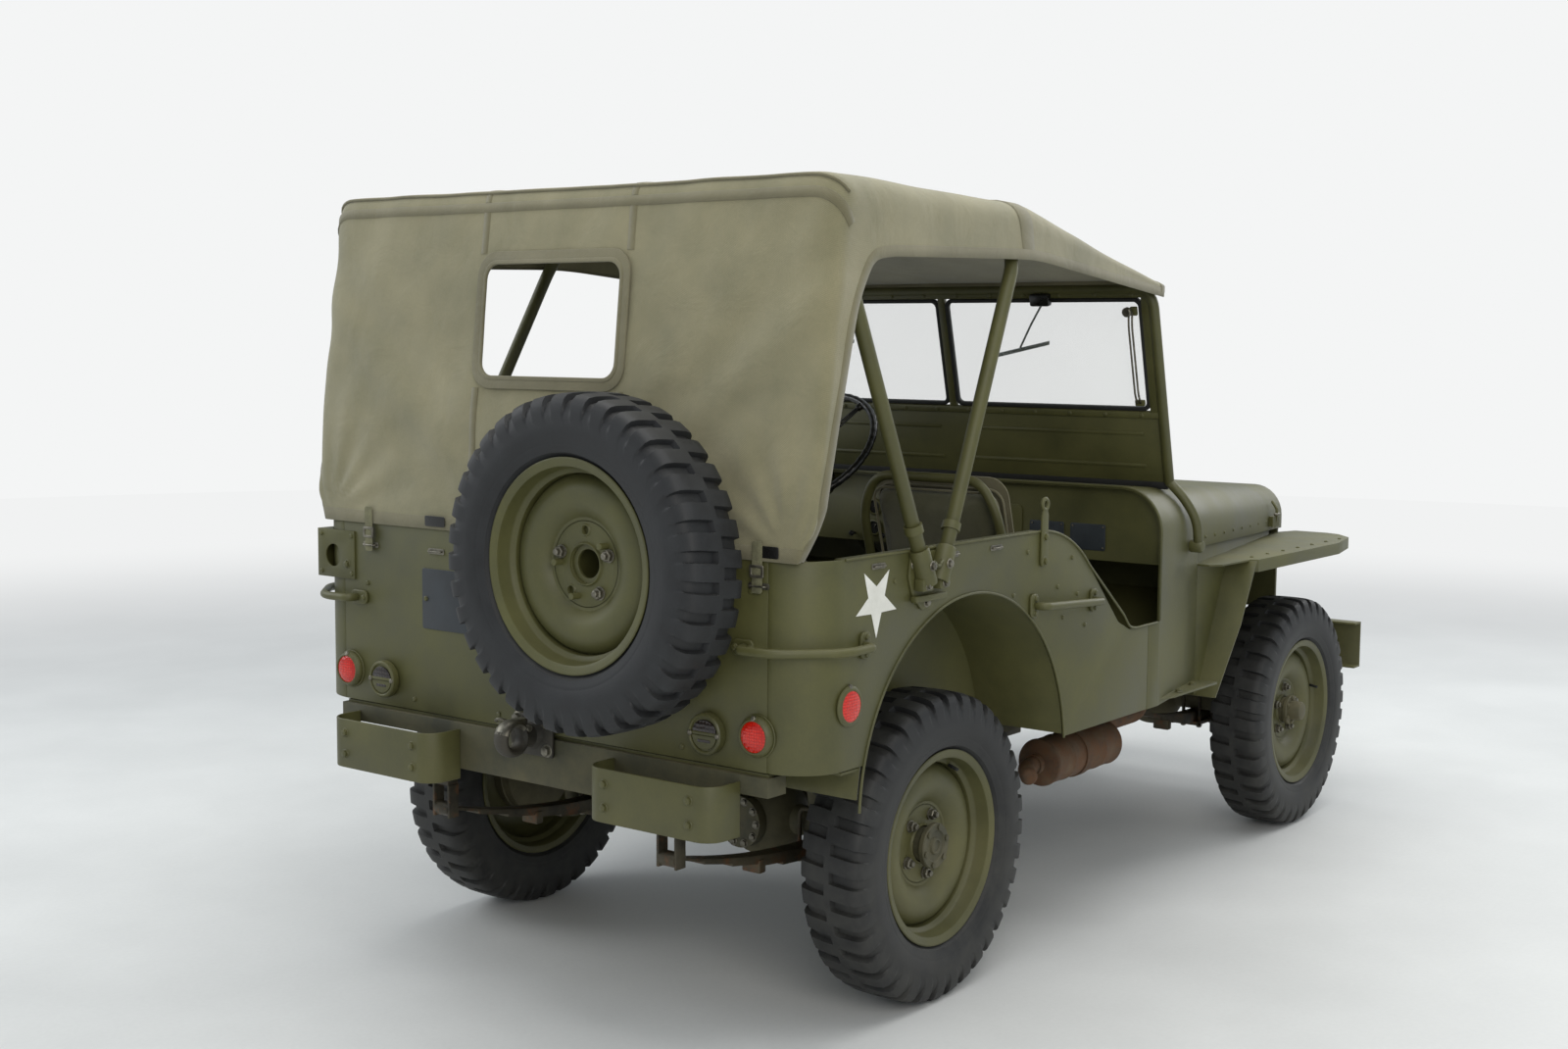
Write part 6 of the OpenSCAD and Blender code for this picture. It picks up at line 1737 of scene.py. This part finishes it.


# springs' clips and bolts, the bolts of the axle covers, and pipes underneath
def addUnderside():
    metal, bolts, pipes = [], [], []
    for x in (frontAxle, rearAxle):
        for sign in (1, -1):
            y = sign * 0.349
            for dx in (-0.045, 0.045):
                metal.append(sweep(filleted([(x + dx, y - 0.027, 0.268), (x + dx, y - 0.027, 0.392),
                    (x + dx, y + 0.027, 0.392), (x + dx, y + 0.027, 0.268)], 0.02), 0.0055, 10))
                for dy in (-0.027, 0.027):
                    bolts.append((Vector((x + dx, y + dy, 0.2725)), (0, 0, -1)))
            for dx in (-0.25, 0.25):
                metal.append(block((x + dx - 0.012, y - 0.026, 0.29), (x + dx + 0.012, y + 0.026, 0.322),
                    0.004))
        face = -1 if x == rearAxle else 1
        for k in range(10):
            t = 2 * pi * k / 10
            bolts.append((Vector((x + face * 0.108, -0.19 + 0.052 * cos(t), 0.35 + 0.052 * sin(t))), (face, 0,
                0)))
    # brake pipe along the right rail and over the axle, and the fuel line
    pipes.append(sweep(filleted([(1.05, -0.38, 0.53), (0.3, -0.38, 0.53), (-0.55, -0.38, 0.53), (-0.8, -0.378,
        0.585), (-0.86, -0.25, 0.43), (-0.885, -0.15, 0.392)], 0.04), 0.004, 8))
    pipes.append(sweep(filleted([(0.6, 0.38, 0.5), (-0.1, 0.38, 0.5), (-0.24, 0.4, 0.52), (-0.24, 0.42,
        0.548)], 0.03), 0.004, 8))
    addPiece("springClips", metal, springSteel)
    addFasteners("undersideBolts", bolts, hexBolt, wornSteel)
    addPiece("brakeAndFuelPipes", pipes, wornSteel)
    # engine dress: rocker cover, air cleaner, fan and hoses under the hood
    dress = [block((0.68, -0.07, 0.898), (1.12, 0.075, 0.955), 0.018, 3), turned([(0, 0.062), (0.004, 0.07),
        (0.12, 0.07), (0.128, 0.062), (0.134, 0.03), (0.136, 0)], (0.8, -0.245, 0.78), (0, 0, 1), 40),
        turned([(0, 0.052), (0.006, 0.056), (0.02, 0.056), (0.024, 0.03), (0.04, 0.024)], (1.187, 0, 0.76),
            (1, 0, 0), 36)]
    for k in range(4):
        turn = Matrix.Translation((1.222, 0, 0.76)) @ Matrix.Rotation(radians(90 * k + 20), 4, "X")
        dress.append(moved(block((-0.002, -0.028, 0.02), (0.002, 0.028, 0.175), 0.0018),
            turn @ Matrix.Rotation(radians(24), 4, "Z")))
    addPiece("engineDress", dress, castIron)
    hoses = [sweep(filleted([(1.12, 0.09, 0.9), (1.2, 0.09, 0.925), (1.292, 0.09, 0.925)], 0.03), 0.02, 16),
        sweep(filleted([(1.15, -0.12, 0.56), (1.22, -0.12, 0.59), (1.292, -0.12, 0.59)], 0.03), 0.022, 16),
        sweep(filleted([(0.8, -0.245, 0.915), (0.84, -0.15, 0.948), (0.9, -0.06, 0.966)], 0.05), 0.02, 16)]
    addPiece("engineHoses", hoses, softRubber)
    battery = [block((0.43, -0.4, 0.69), (0.6, -0.215, 0.9), 0.008, 3)]
    addPiece("batteryBox", battery, bakelite)


addUnderside()
print("underside and engine made")


# studio: a pale floor and soft lamps overhead and behind the camera
def addStudio():
    floor = bpy.data.meshes.new("floor")
    ring = [(14 * cos(2 * pi * i / 96), 14 * sin(2 * pi * i / 96), -0.001) for i in range(96)]
    floor.from_pydata(ring, [], [tuple(range(96))])
    thing = bpy.data.objects.new("floor", floor)
    scene.collection.objects.link(thing)
    ground = makeFinish("pale sealed concrete", {"dark": "#d3d4d2", "light": "#dddedc", "blotch": 900.0,
        "grain": 12.0, "rough": 0.55, "depth": 0.3, "grainShade": 0.02})
    # the floor fades into the backdrop away from the vehicle
    tree = ground.node_tree
    end = next(n for n in tree.nodes if n.type == "OUTPUT_MATERIAL")
    spot = addNode(tree, "ShaderNodeTexCoord")
    reach = addNode(tree, "ShaderNodeVectorMath", {"operation": "LENGTH"}, {0: spot.outputs["Object"]})
    fade = addNode(tree, "ShaderNodeMapRange", {"interpolation_type": "SMOOTHSTEP"},
        {"Value": reach.outputs["Value"], "From Min": 3.0, "From Max": 9.5})
    glow = addNode(tree, "ShaderNodeEmission", None, {"Color": linear("#f1f2f2"), "Strength": 1.0})
    both = addNode(tree, "ShaderNodeMixShader", None, {0: fade.outputs[0],
        1: end.inputs[0].links[0].from_socket, 2: glow.outputs[0]})
    tree.links.new(both.outputs[0], end.inputs[0])
    floor.materials.append(ground)
    for name, place, aim, size, power, tint in (("overhead", (-0.4, -0.4, 4.6), (0, 0, 0.6), 5.0, 150,
            (1, 0.99, 0.97)), ("cameraSide", (-4.6, -4.2, 3.1), (-0.4, 0, 0.7), 3.2, 95, (1, 0.95, 0.88)),
            ("leftSide", (-3.0, 4.6, 3.4), (-0.4, 0, 0.8), 3.2, 85, (0.96, 0.98, 1)), ("frontSide",
                (4.8, -1.4, 3.2), (0.6, 0, 0.8), 3.2, 80, (1, 1, 1))):
        data = bpy.data.lights.new(name, "AREA")
        data.shape = "DISK"
        data.size = size
        data.energy = power
        data.color = tint
        lamp = bpy.data.objects.new(name, data)
        scene.collection.objects.link(lamp)
        lamp.location = place
        lamp.rotation_euler = (Vector(aim) - Vector(place)).to_track_quat("-Z", "Y").to_euler()
    world = bpy.data.worlds.new("studio")
    scene.world = world
    world.use_nodes = True
    tree = world.node_tree
    tree.nodes.clear()
    rays = addNode(tree, "ShaderNodeLightPath")
    seen = arithmetic(tree, "MAXIMUM", rays.outputs["Is Camera Ray"], rays.outputs["Is Transmission Ray"])
    white = addNode(tree, "ShaderNodeBackground", None, {"Color": linear("#f4f5f5"), "Strength": 1.0})
    fill = addNode(tree, "ShaderNodeBackground", None, {"Color": linear("#dfe6ec"), "Strength": 0.64})
    mixed = addNode(tree, "ShaderNodeMixShader", None, {0: seen, 1: fill.outputs[0], 2: white.outputs[0]})
    addNode(tree, "ShaderNodeOutputWorld", None, {0: mixed.outputs[0]})


addStudio()
print("studio made")
